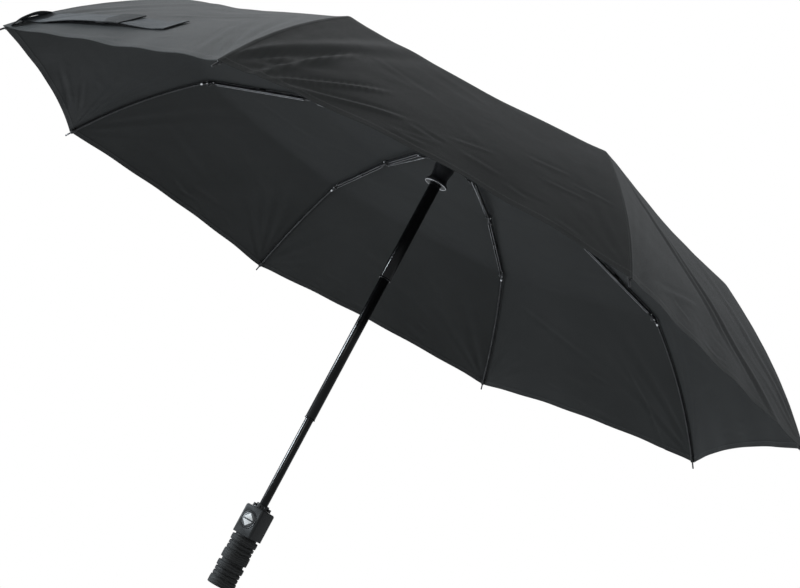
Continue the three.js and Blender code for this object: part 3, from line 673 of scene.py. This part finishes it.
def tip_loop(name, ends, rise, wide, thick):
    """A narrow loop of tape at the tip of the last rib: it follows the seam from end to end in an
    arch, height = rise sin(pi t), and is widest half way."""
    t, q = np.meshgrid(np.linspace(0, 1, 28), np.linspace(-1, 1, 7), indexing="ij")
    s = np.clip(ELBOW + (SEAM_LENGTH - ELBOW) * (ends[0] + (ends[1] - ends[0]) * t), 0, SEAM_LENGTH - MM)
    half_wide = wide * (0.25 + 0.75 * np.sin(np.pi * np.clip(t * 0.9 + 0.1, 0, 1)) ** 0.8)
    u = 0.03 + 0 * s
    line = gore_points(STRAP_GORE, s, u, 1.2 * MM + rise * np.sin(np.pi * t))
    side = np.gradient(line, axis=0)
    side = np.cross(side, (0.0, 0.0, 1.0))
    side /= np.linalg.norm(side, axis=-1, keepdims=True)
    top = line - side * (q * half_wide)[..., None] + np.array((0, 0, 1.0)) * (0.15 * q * half_wide)[..., None]
    normal = grid_normals(top)
    down = normal[..., 2].mean() < 0
    normal = -normal if down else normal
    under = top - normal * thick
    steps = np.linalg.norm(np.diff(top, axis=0), axis=-1)
    along = np.concatenate((np.zeros((1, 7)), np.cumsum(steps, axis=0)))
    across = q * half_wide
    grids = [top, under, normal]
    if down:
        grids = [g[:, ::-1] for g in grids]
    made = sheet_mesh(name, *grids, across + 0.03, along, half_wide - np.abs(across),
                      (strap_cloth, strap_cloth))
    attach(made, f"rib_{RIBS}_tail")
    return made


tip_loop("strap_loop", (0.77, 0.99), 4.5 * MM, 6.5 * MM, 0.7 * MM)

# ---------------------------------------------------------------------------------------------
# Crown and top cap: moulded nylon. The crown is pressed onto the top of the upper tube and holds
# the eight ribs on short pins. The cap screws down over the middle of the cloth.


def edge_wear_and_highlight_group():
    """Where a hard edge is rubbed, and where a highlight is painted along it: a mask from how far a rounded
    normal leans off the true one, broken up by noise."""
    group, w, given, made = new_group("edge_wear_and_highlight", [("Width", FLOAT, 0.0004), ("Amount", FLOAT, 0.6)],
                                      [("Mask", FLOAT)])
    soft = w.node("ShaderNodeBevel", samples=4, Radius=given.outputs["Width"])
    hard = w.node("ShaderNodeNewGeometry")
    lean = w.node("ShaderNodeVectorMath", operation="DOT_PRODUCT")
    w.put(soft.outputs[0], lean.inputs[0])
    w.put(hard.outputs["Normal"], lean.inputs[1])
    off = w.math("SUBTRACT", 1.0, lean.outputs["Value"])
    rubbed_and_lit = w.math("MULTIPLY", w.ramp(off, 0.01, 0.16), w.ramp(w.noise(180.0, 4.0), 0.35, 0.6))
    w.put(w.math("MULTIPLY", rubbed_and_lit, given.outputs["Amount"]), made.inputs["Mask"])
    return group


def grain_group():
    """Fine spark-eroded grain of a moulding, with slow clouding: height and shade."""
    group, w, given, made = new_group("mould_grain", [("Grain", FLOAT, 2600.0)],
                                      [("Height", FLOAT), ("Shade", FLOAT)])
    fine, slow = w.noise(given.outputs["Grain"], 2.0), w.noise(60.0, 5.0)
    w.put(fine, made.inputs["Height"])
    w.put(w.math("ADD", w.math("MULTIPLY", fine, 0.45), w.math("MULTIPLY", slow, 0.55)),
          made.inputs["Shade"])
    return group


edge_wear_and_highlight = edge_wear_and_highlight_group()
mould_grain = grain_group()


def moulded(name, base, wear_and_highlight, rough, specular=0.4, grain=2600.0, depth=0.00003, amount=0.5, metal=0.0):
    """A moulded or coated finish: grain, clouding, and edges made paler and smoother, partly as rub wear and
    partly as painted highlights.
    """
    material, w, shader = new_material(name, rough, metal, specular)
    texture = w.node("ShaderNodeGroup", node_tree=mould_grain, Grain=grain)
    # paler edges: partly rubbed wear, partly painted highlights where the edges would catch the light
    rubbed_and_lit = w.node("ShaderNodeGroup", node_tree=edge_wear_and_highlight, Width=0.00045, Amount=amount)
    light = tuple(min(1.0, c * 1.7) for c in base[:3]) + (1,)
    colour = w.mix(w.ramp(texture.outputs["Shade"], 0.3, 0.7), base, light)
    w.put(w.mix(rubbed_and_lit.outputs[0], colour, wear_and_highlight), shader.inputs["Base Color"])
    smooth = w.ramp(texture.outputs["Shade"], 0.3, 0.7, rough - 0.05, rough + 0.07)
    w.put(w.math("SUBTRACT", smooth, w.math("MULTIPLY", rubbed_and_lit.outputs[0], 0.12)), shader.inputs["Roughness"])
    w.bump(w.math("MULTIPLY", texture.outputs["Height"], depth), 0.7, shader)
    return material


def smoothing_modifier():
    """Geometry nodes that shade faces as one curve, except across edges sharper than 34 degrees."""
    tree = bpy.data.node_groups.new("round_shading", "GeometryNodeTree")
    tree.interface.new_socket("Geometry", in_out="INPUT", socket_type="NodeSocketGeometry")
    tree.interface.new_socket("Geometry", in_out="OUTPUT", socket_type="NodeSocketGeometry")
    start, end = tree.nodes.new("NodeGroupInput"), tree.nodes.new("NodeGroupOutput")
    faces = tree.nodes.new("GeometryNodeSetShadeSmooth")
    edges = tree.nodes.new("GeometryNodeSetShadeSmooth")
    edges.domain = "EDGE"
    bend = tree.nodes.new("GeometryNodeInputMeshEdgeAngle")
    gentle = tree.nodes.new("FunctionNodeCompare")
    gentle.data_type, gentle.operation = "FLOAT", "LESS_THAN"
    gentle.inputs[1].default_value = math.radians(34)
    tree.links.new(start.outputs[0], faces.inputs["Geometry"])
    tree.links.new(faces.outputs[0], edges.inputs["Geometry"])
    tree.links.new(bend.outputs["Unsigned Angle"], gentle.inputs[0])
    tree.links.new(gentle.outputs[0], edges.inputs["Shade Smooth"])
    tree.links.new(edges.outputs[0], end.inputs[0])
    return tree


round_shading = smoothing_modifier()


def finish_edges(piece, material, width=0.3, steps=2):
    """Rounds a rigid piece's edges, shades its curves smooth, and gives it its material."""
    if material is not None:
        piece.data.materials.clear()
        piece.data.materials.append(material)
    weld = piece.modifiers.new("weld", "WELD")
    weld.merge_threshold = 0.00001
    if width:
        bevel = piece.modifiers.new("edges", "BEVEL")
        bevel.width = width * MM
        bevel.segments = steps
        bevel.limit_method = "ANGLE"
        bevel.angle_limit = math.radians(36)
        bevel.use_clamp_overlap = True
    shading = piece.modifiers.new("round_shading", "NODES")
    shading.node_group = round_shading
    return piece


def fitted(piece, body, width=0.0):
    """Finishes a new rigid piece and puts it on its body."""
    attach(finish_edges(piece, None, width), body)
    return piece


def ring_solid(name, rings, materials, kinds=None, loop=False):
    """A closed surface from a stack of closed rings of points, [ring, place on the ring]. The ends
    are closed with a face each, or the last ring joins the first."""
    n, m = rings.shape[:2]
    ids = np.arange(n * m).reshape(n, m)
    if loop:
        ids = np.vstack((ids, ids[:1]))
    after = np.roll(ids, -1, axis=1)
    quads = np.stack((ids[:-1], after[:-1], after[1:], ids[1:]), -1)
    kind = np.zeros(quads.shape[:2], np.int32) if kinds is None else np.repeat(
        np.asarray(kinds, np.int32)[:len(quads), None], m, axis=1)
    faces, kind = quads.reshape(-1, 4).tolist(), kind.ravel().tolist()
    if not loop:
        faces += [ids[0, ::-1].tolist(), ids[-1].tolist()]
        kind += [kind[0], kind[-1]]
    mesh = bpy.data.meshes.new(name)
    mesh.from_pydata(rings.reshape(-1, 3).tolist(), [], faces)
    mesh.polygons.foreach_set("material_index", kind)
    for material in materials:
        mesh.materials.append(material)
    piece = bpy.data.objects.new(name, mesh)
    scene.collection.objects.link(piece)
    return piece


def lathe(name, profile, materials, kinds=None, loop=True, count=64, axis="z", at=(0, 0, 0)):
    """A profile of [radius, height] in mm carried round an axis: x = r cos a, y = r sin a."""
    r, h = np.array(profile, float).T * MM
    a = np.linspace(0, 2 * np.pi, count + 1)[:-1]
    x, y = r[:, None] * np.cos(a), r[:, None] * np.sin(a)
    z = np.repeat(h[:, None], count, axis=1)
    rings = np.stack((x, y, z) if axis == "z" else (z, x, y), -1) + np.array(at)
    return ring_solid(name, rings, materials, kinds, loop)


hub_plastic = moulded("hub_plastic", (0.006, 0.006, 0.007, 1), (0.045, 0.046, 0.048, 1), 0.36, 0.5, 2200.0)
cap_plastic = moulded("cap_plastic", (0.008, 0.008, 0.009, 1), (0.05, 0.05, 0.05, 1), 0.42, 0.45, 2400.0)
finish_edges(nodes["crown"], hub_plastic, 0.35)
finish_edges(nodes["top_cap"], cap_plastic, 0.5, 3)

# ---------------------------------------------------------------------------------------------
# Shaft: three steel tubes that slide in each other, lacquered gloss black. The mouth of each
# outer tube is rolled inwards to a small bead.
tube_black, w, shader = new_material("tube_black", 0.2, 0.0, 0.16, Coat_Roughness=0.08)
own_place = w.node("ShaderNodeTexCoord").outputs["Object"]
lengthened = w.node("ShaderNodeMapping", Vector=own_place, Scale=(900.0, 900.0, 14.0))
scratches = w.node("ShaderNodeTexNoise", Vector=lengthened.outputs[0], Scale=1.0, Detail=3.0)
haze = w.noise(40.0, 4.0)
# paler edges on the tubes: partly rubbed lacquer, partly painted highlights on the rims
wear_and_highlight = w.node("ShaderNodeGroup", node_tree=edge_wear_and_highlight, Width=0.0005, Amount=0.8)
lacquer = w.mix(w.ramp(scratches.outputs[0], 0.45, 0.75), (0.002, 0.002, 0.0022, 1),
                (0.005, 0.005, 0.0055, 1))
w.put(w.mix(wear_and_highlight.outputs[0], lacquer, (0.10, 0.10, 0.105, 1)), shader.inputs["Base Color"])
w.put(w.ramp(haze, 0.3, 0.7, 0.15, 0.27), shader.inputs["Roughness"])
w.put(w.ramp(haze, 0.3, 0.7, 0.16, 0.06), shader.inputs["Coat Weight"])
w.bump(w.math("MULTIPLY", scratches.outputs[0], 0.000002), 0.5, shader)
for name in ("tube_lower", "tube_middle", "tube_upper"):
    finish_edges(nodes[name], tube_black, 0.15)
for name, tube, body in (("tube_mouth_middle", "tube_middle", "middle_tube"),
                         ("tube_mouth_upper", "tube_upper", "upper_tube")):
    low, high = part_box(tube)
    radius, z = high.x / MM, low.z / MM
    bead = [(radius + out, z + up) for out, up in (
        (-0.62, 1.4), (-0.66, 0.1), (-0.45, -0.35), (-0.05, -0.5), (0.32, -0.25), (0.45, 0.25),
        (0.34, 0.8), (0.06, 1.2), (-0.05, 1.5))]
    fitted(lathe(name, bead, [tube_black]), body)

# ---------------------------------------------------------------------------------------------
# Runner: a waisted nylon collar that slides on the upper tube and pulls the eight stretchers. A thin polished
# ring set into the bottom of its flange paints the bright highlight along the flange's lower rim.
finish_edges(nodes["runner"], hub_plastic, 0.35)
polished_and_highlight, w, shader = new_material("polished_steel_and_highlight", 0.22, 1.0, 0.5)
brush = w.noise(1400.0, 3.0)
w.put(w.mix(w.ramp(brush, 0.3, 0.7), (0.50, 0.50, 0.51, 1), (0.74, 0.74, 0.75, 1)),
      shader.inputs["Base Color"])
w.put(w.ramp(brush, 0.3, 0.7, 0.16, 0.34), shader.inputs["Roughness"])
low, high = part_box("runner")
ring_r, ring_z = high.x / MM, low.z / MM
# the ring paints the bright highlight along the flange's lower rim
flange = [(ring_r + out, ring_z + up) for out, up in (
    (-1.5, 0.4), (-1.4, -0.12), (-0.9, -0.2), (-0.45, -0.05), (-0.35, 0.3))]
fitted(lathe("runner_highlight_ring", flange, [polished_and_highlight]), "runner", 0.1)

# ---------------------------------------------------------------------------------------------
# Ribs: folded black steel channels and flat stretchers, riveted at each joint. A sprung wire runs
# over the middle rib through a clip, and pulls the tail open.
# the channels' edges are painted pale grey: partly chipped paint, partly painted highlights where the edges
# catch the light
rib_steel = moulded("rib_steel", (0.009, 0.009, 0.010, 1), (0.55, 0.55, 0.56, 1), 0.33, 0.5, 1500.0,
                    0.00001, 0.9)
# bare steel for the links and the spring wire, and for the rods that paint highlights along the channel edges
bare_steel_and_highlight = moulded("bare_steel_and_highlight", (0.32, 0.32, 0.33, 1), (0.6, 0.6, 0.6, 1), 0.38, 0.5, 1500.0, 0.00001, 0.4,
                     1.0)
clip_plastic = moulded("clip_plastic", (0.006, 0.006, 0.006, 1), (0.05, 0.05, 0.05, 1), 0.5, 0.4)
top_slope, middle_slope = math.radians(-4.4), math.radians(-10.7)


def rib_place(k, start, slope, along, above, side):
    """World points of a rib's own measures in mm: along it, above it in its plane, and sideways."""
    a = FIRST + (k - 1) * 2 * np.pi / RIBS
    along, above, side = (np.asarray(v, float) * MM for v in (along, above, side))
    r = start[0] + along * math.cos(slope) - above * math.sin(slope)
    z = start[1] + along * math.sin(slope) + above * math.cos(slope)
    along, above, side, r, z = np.broadcast_arrays(along, above, side, r, z)
    return np.stack((r * math.cos(a) + side * math.sin(a), r * math.sin(a) - side * math.cos(a), z), -1)


def rod_rings(k, start, slope, along, above, radius, count=20, flatten=1.0):
    """Rings round a line in a rib's plane: above = f(along), and a radius at each station."""
    along, above, radius = (np.asarray(v, float)[:, None] for v in np.broadcast_arrays(along, above, radius))
    lean = np.arctan(np.gradient(above[:, 0], along[:, 0]))[:, None]
    a = np.linspace(0, 2 * np.pi, count + 1)[:-1]
    h, side = radius * np.cos(a) * flatten, radius * np.sin(a)
    return rib_place(k, start, slope, along - h * np.sin(lean), above + h * np.cos(lean), -side)


def dome_rings(k, start, slope, at, face, height, radius, count=16):
    """A rivet's domed head on the side of a rib: rings that shrink as they rise off the face."""
    t = np.array([0.0, 0.45, 0.8, 0.97])[:, None]
    a = np.linspace(0, 2 * np.pi, count + 1)[:-1] * (1 if face > 0 else -1)
    r = radius * np.sqrt(1.02 - t ** 2)
    side = face + np.sign(face) * height * t
    return rib_place(k, start, slope, at[0] + r * np.cos(a), at[1] + r * np.sin(a), side + 0 * a)


def joined(name, stacks, material, body):
    """One mesh from several stacks of rings, each closed at both ends."""
    parts = [ring_solid(name + "_part", rings, [material]) for rings in stacks]
    points, faces, total = [], [], 0
    for part in parts:
        points += [v.co[:] for v in part.data.vertices]
        faces += [[v + total for v in f.vertices] for f in part.data.polygons]
        total += len(part.data.vertices)
        mesh = part.data
        bpy.data.objects.remove(part)
        bpy.data.meshes.remove(mesh)
    mesh = bpy.data.meshes.new(name)
    mesh.from_pydata(points, [], faces)
    mesh.materials.append(material)
    piece = bpy.data.objects.new(name, mesh)
    scene.collection.objects.link(piece)
    return fitted(piece, body)


middle_start = knee_pin + 2.1 * MM * np.array([math.sin(middle_slope), -math.cos(middle_slope)])
wire_along = np.linspace(7.5, 137.0, 30)
wire_above = np.interp(wire_along, [7.5, 14, 60, 80, 128, 137], [2.0, 2.5, 2.6, 2.6, 2.5, 2.0])
RIVET_RISE, NEAR_FACE, FAR_FACE = 0.75, 2.0, -2.45
for k in range(1, RIBS + 1):
    for part, width in (("top", 0.3), ("stretcher", 0.25), ("link", 0.2), ("middle", 0.3), ("tail", 0.3)):
        finish = bare_steel_and_highlight if part == "link" else rib_steel
        finish_edges(nodes[f"rib_{k}_{part}"], finish, width)
    heads = [dome_rings(k, crown_pin, top_slope, at, face, RIVET_RISE, 1.55)
             for at in ((86, -4), (190, 2.1)) for face in (NEAR_FACE, FAR_FACE)]
    joined(f"rivets_{k}_top", heads, polished_and_highlight, f"rib_{k}_top")
    heads = [dome_rings(k, middle_start, middle_slope, at, face, RIVET_RISE, r) for at, face, r in (
        ((146, -2.1), NEAR_FACE, 1.5), ((146, -2.1), FAR_FACE, 1.5), ((12, -0.2), 1.95, 0.9),
        ((138, 0), 1.95, 0.9), ((138, 0), -1.95, 0.9))]
    joined(f"rivets_{k}_middle", heads, polished_and_highlight, f"rib_{k}_middle")
    wire = rod_rings(k, middle_start, middle_slope, wire_along, wire_above, 0.55, 12)
    joined(f"spring_wire_{k}", [wire], bare_steel_and_highlight, f"rib_{k}_middle")
    # bright steel rods along the lower edges of both channels: painted highlights where those edges catch the
    # light
    for part, start, slope, ends in (("top", crown_pin, top_slope, (92, 174)),
                                     ("middle", middle_start, middle_slope, (12, 134))):
        lips = [rod_rings(k, start, slope, np.linspace(*ends, 12), -1.68, 0.3, 8) + side for side in
                (rib_place(k, np.zeros(2), 0, 0, 0, 1.72), rib_place(k, np.zeros(2), 0, 0, 0, -1.72))]
        joined(f"bare_edges_{k}_{part}", lips, bare_steel_and_highlight, f"rib_{k}_{part}")
    clip = rod_rings(k, middle_start, middle_slope, [64.6, 65.0, 66, 72.2, 73.2, 73.6], 0.55,
                     [1.9, 2.4, 2.7, 2.7, 2.4, 1.9], 24)
    joined(f"wire_clip_{k}", [clip], clip_plastic, f"rib_{k}_middle")

# ---------------------------------------------------------------------------------------------
# Tails and tips: a black sprung wire in a shallow bow, crimped into a bright ferrule beside the
# elbow. Its end is a small cap with a loop of wire that the cloth's corner is sewn to.
tail_steel = moulded("tail_steel", (0.006, 0.006, 0.007, 1), (0.35, 0.35, 0.36, 1), 0.28, 0.5, 1800.0,
                     0.00001, 0.5)
tail_start = elbow_pin + 2.1 * MM * tail_side
c = (CORNER - tail_start[0]) / MM / math.cos(TAIL_SLOPE)
stations = np.array([(4.6, 1.0), (5.0, 1.38), (6.3, 1.4), (6.5, 1.85), (9.3, 1.85), (9.5, 1.36),
                     *((x, 1.36) for x in np.linspace(12, c - 9, 26)), (c - 7.0, 1.4), (c - 6.8, 2.05),
                     (c - 6.3, 2.2), (c - 1.2, 2.25), (c + 0.2, 2.1), (c + 0.9, 1.6), (c + 1.2, 0.95),
                     (c + 8.6, 0.95), (c + 9.0, 0.8), (c + 9.2, 0.45)])
bow_of = lambda x: 4 * TAIL_BOW * (x / c) * (1 - x / c)
kinds = np.where((stations[:, 0] > 6.0) & (stations[:, 0] < 9.4), 1, np.where(stations[:, 0] > c - 7.1, 2, 0))
kinds = np.where(stations[:, 0] > c + 1.0, 0, kinds)
for k in range(1, RIBS + 1):
    rings = rod_rings(k, tail_start, TAIL_SLOPE, stations[:, 0], bow_of(stations[:, 0]), stations[:, 1], 24)
    tail = ring_solid(f"tail_wire_{k}", rings, [tail_steel, polished_and_highlight, clip_plastic], kinds)
    fitted(tail, f"rib_{k}_tail")

# ---------------------------------------------------------------------------------------------
# Housing: the moulded top of the handle, a square with rounded corners around the lower tube. A
# rim of eight posts and a short collar stand on it, where the tips rest when the umbrella is closed.
housing_plastic = moulded("housing_plastic", (0.0085, 0.0092, 0.0096, 1), (0.07, 0.073, 0.075, 1), 0.5,
                          0.22, 1900.0, 0.00004, 0.5)
rim_plastic = moulded("rim_plastic", (0.007, 0.007, 0.0075, 1), (0.05, 0.05, 0.05, 1), 0.45, 0.4)
finish_edges(nodes["handle_housing"], housing_plastic, 0.45, 3)
finish_edges(nodes["tip_rim"], rim_plastic, 0.3)
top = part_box("handle_housing")[1].z / MM
collar = lathe("shaft_collar", [(6.6, top + 1.2), (8.2, top + 1.2), (8.1, top + 2.2), (7.3, top + 5.4),
                                (7.0, top + 5.8), (6.6, top + 5.6)], [rim_plastic])
fitted(collar, "handle", 0.15)

# ---------------------------------------------------------------------------------------------
# Push button: a shallow dome in a bright-edged ring on the front of the housing, with an arrow up
# and an arrow down moulded on it in white.
button_plastic = moulded("button_plastic", (0.016, 0.017, 0.018, 1), (0.07, 0.07, 0.075, 1), 0.38,
                         0.45, 2600.0, 0.00002)
ring_plastic = moulded("button_ring_plastic", (0.010, 0.010, 0.011, 1), (0.035, 0.035, 0.037, 1), 0.42,
                       0.3, 2600.0, 0.00001, 0.6)
white_print = moulded("white_plastic", (0.36, 0.36, 0.355, 1), (0.82, 0.82, 0.82, 1), 0.5, 0.4)
low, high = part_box("push_button")
button_at = (0, 0, (low.z + high.z) / 2)
button_r, face_x, back_x = (high.z - low.z) / 2 / MM, high.x / MM, low.x / MM
t = np.linspace(0, 1, 9)
dome = [(button_r - 0.5, back_x), (button_r, back_x + 0.4), (button_r, face_x - 0.75),
        (button_r - 0.12, face_x - 0.5)]
dome += [(max(r, 0.3), face_x - 0.45 + 0.55 * (1 - (r / button_r) ** 2)) for r in (button_r - 0.4) * (1 - t)]
button = lathe("button_dome", dome, [button_plastic], loop=False, axis="x", at=button_at)
fitted(button, "push_button")
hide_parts("push_button")
low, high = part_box("button_ring")
ring_r, ring_x = (high.z - low.z) / 2 / MM, high.x / MM
torus = [(ring_r + out, ring_x + up) for out, up in (
    (-1.25, -0.8), (-1.28, -0.25), (-1.0, 0.12), (-0.6, 0.25), (-0.2, 0.1), (0, -0.25), (0, -0.8))]
ring = lathe("button_bezel", torus, [ring_plastic], axis="x", at=button_at)
fitted(ring, "handle")
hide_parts("button_ring")


def arrow(name, way):
    """A raised triangle with rounded corners: its outline, carried along X through the face of
    the button. way is 1 for up and -1 for down."""
    corner = np.array([(0, 6.55), (-5.5, 1.4), (5.5, 1.4)])
    fan = np.radians(np.linspace(-60, 60, 7))
    outline = np.concatenate([p + 0.6 * np.stack((np.cos(b + fan), np.sin(b + fan)), -1)
                              for p, b in zip(corner, np.radians([90, 215, 325]))])
    y, z = outline[:, 0], way * outline[:, 1]
    depth = np.array([face_x - 0.9, face_x + 0.12, face_x + 0.2])
    scale = np.array([1.0, 1.0, 0.96])[:, None]
    mid = way * 3.2
    rings = np.stack((np.repeat(depth[:, None], len(y), 1), y * scale, mid + (z - mid) * scale), -1) * MM
    rings = rings[:, ::way] + np.array(button_at)
    return fitted(ring_solid(name, rings, [white_print]), "push_button", 0.08)


arrow("arrow_up", 1)
arrow("arrow_down", -1)

# ---------------------------------------------------------------------------------------------
# Grip: a moulded rubber sleeve in wide bands and narrow rings, slightly square, with a fine wavy
# pattern pressed into the bands. A round plug closes its end.
grip_rubber, w, shader = new_material("grip_rubber", 0.72, 0.0, 0.32)
own_place = w.node("ShaderNodeTexCoord").outputs["Object"]
waves = w.node("ShaderNodeTexWave", Vector=own_place, Scale=120.0, Distortion=9.0, Detail=2.0)
waves.bands_direction = "Z"
waves.inputs["Detail Scale"].default_value = 0.7
rubber_grain = w.noise(1500.0, 3.0)
pattern = w.ramp(waves.outputs["Fac"], 0.3, 0.7)
relief = w.math("ADD", w.math("MULTIPLY", pattern, 0.00035), w.math("MULTIPLY", rubber_grain, 0.00012))
w.bump(relief, 0.9, shader)
# painted shade: the pressed-in parts of the wavy pattern are darker than the raised ones
w.put(w.mix(pattern, (0.0055, 0.0058, 0.0058, 1), (0.017, 0.0176, 0.0176, 1)), shader.inputs["Base Color"])
w.put(w.ramp(rubber_grain, 0.3, 0.7, 0.64, 0.82), shader.inputs["Roughness"])
GRIP_BANDS = ((0, 9.1, 1.2), (1.2, 3.9, 1), (1.2, 3.8, 1.2), (0, 6.4, 3.6), (0, 10.2, 1.2), (1.2, 3.8, 1),
              (1.2, 3.6, 1.2), (0.2, 6.6, 1.9))
low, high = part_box("handle_grip")
grip_r, grip_long = high.x / MM, (high.z - low.z) / MM
pitch = grip_long / sum(wide + groove for _, wide, groove in GRIP_BANDS)
profile, start = [], 0.0
for inset, wide, groove in GRIP_BANDS:
    r = grip_r - 0.5 * inset
    edge = 0.5
    bottom = r - (2.6 if groove > 3 else 1.3)
    end, after = start + wide * pitch, start + (wide + groove) * pitch
    profile += [(r - edge, start + 0.05), (r - edge * 0.3, start + edge * 0.35), (r, start + edge)]
    profile += [(r + 0.12, (start + end) / 2)] if wide > 5 else []
    profile += [(r, end - edge), (r - edge * 0.3, end - edge * 0.35), (r - edge, end - 0.05),
                (bottom, end + 0.15), (bottom, after - 0.15)]
    start = after
profile[-2:] = [(grip_r - 3, grip_long - 1.6), (grip_r - 3, grip_long - 0.05)]
plug_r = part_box("end_plug")[1].x / MM + 0.3
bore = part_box("tube_lower")[1].x / MM + 0.3
profile += [(bore, grip_long - 0.05), (bore, 2.8), (plug_r, 2.8), (plug_r, 0.05)]
r, z = np.array(profile).T
a = np.linspace(0, 2 * np.pi, 129)[:-1]
square = 1 + 0.018 * np.cos(4 * a)[None, :] * np.clip((r[:, None] - 11) / 3, 0, 1)
square = np.minimum(square, 1.018) / 1.018
rings = np.stack((r[:, None] * square * np.cos(a), r[:, None] * square * np.sin(a),
                  np.repeat(z[:, None], 128, 1)), -1) * MM
grip = ring_solid("grip_sleeve", rings, [grip_rubber], loop=True)
fitted(grip, "handle", 0.15)
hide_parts("handle_grip")
plug_plastic = moulded("plug_plastic", (0.010, 0.010, 0.011, 1), (0.05, 0.05, 0.05, 1), 0.55, 0.35, 1700.0)
finish_edges(nodes["end_plug"], plug_plastic, 0.4, 3)

# ---------------------------------------------------------------------------------------------
# Finish
low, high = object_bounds()
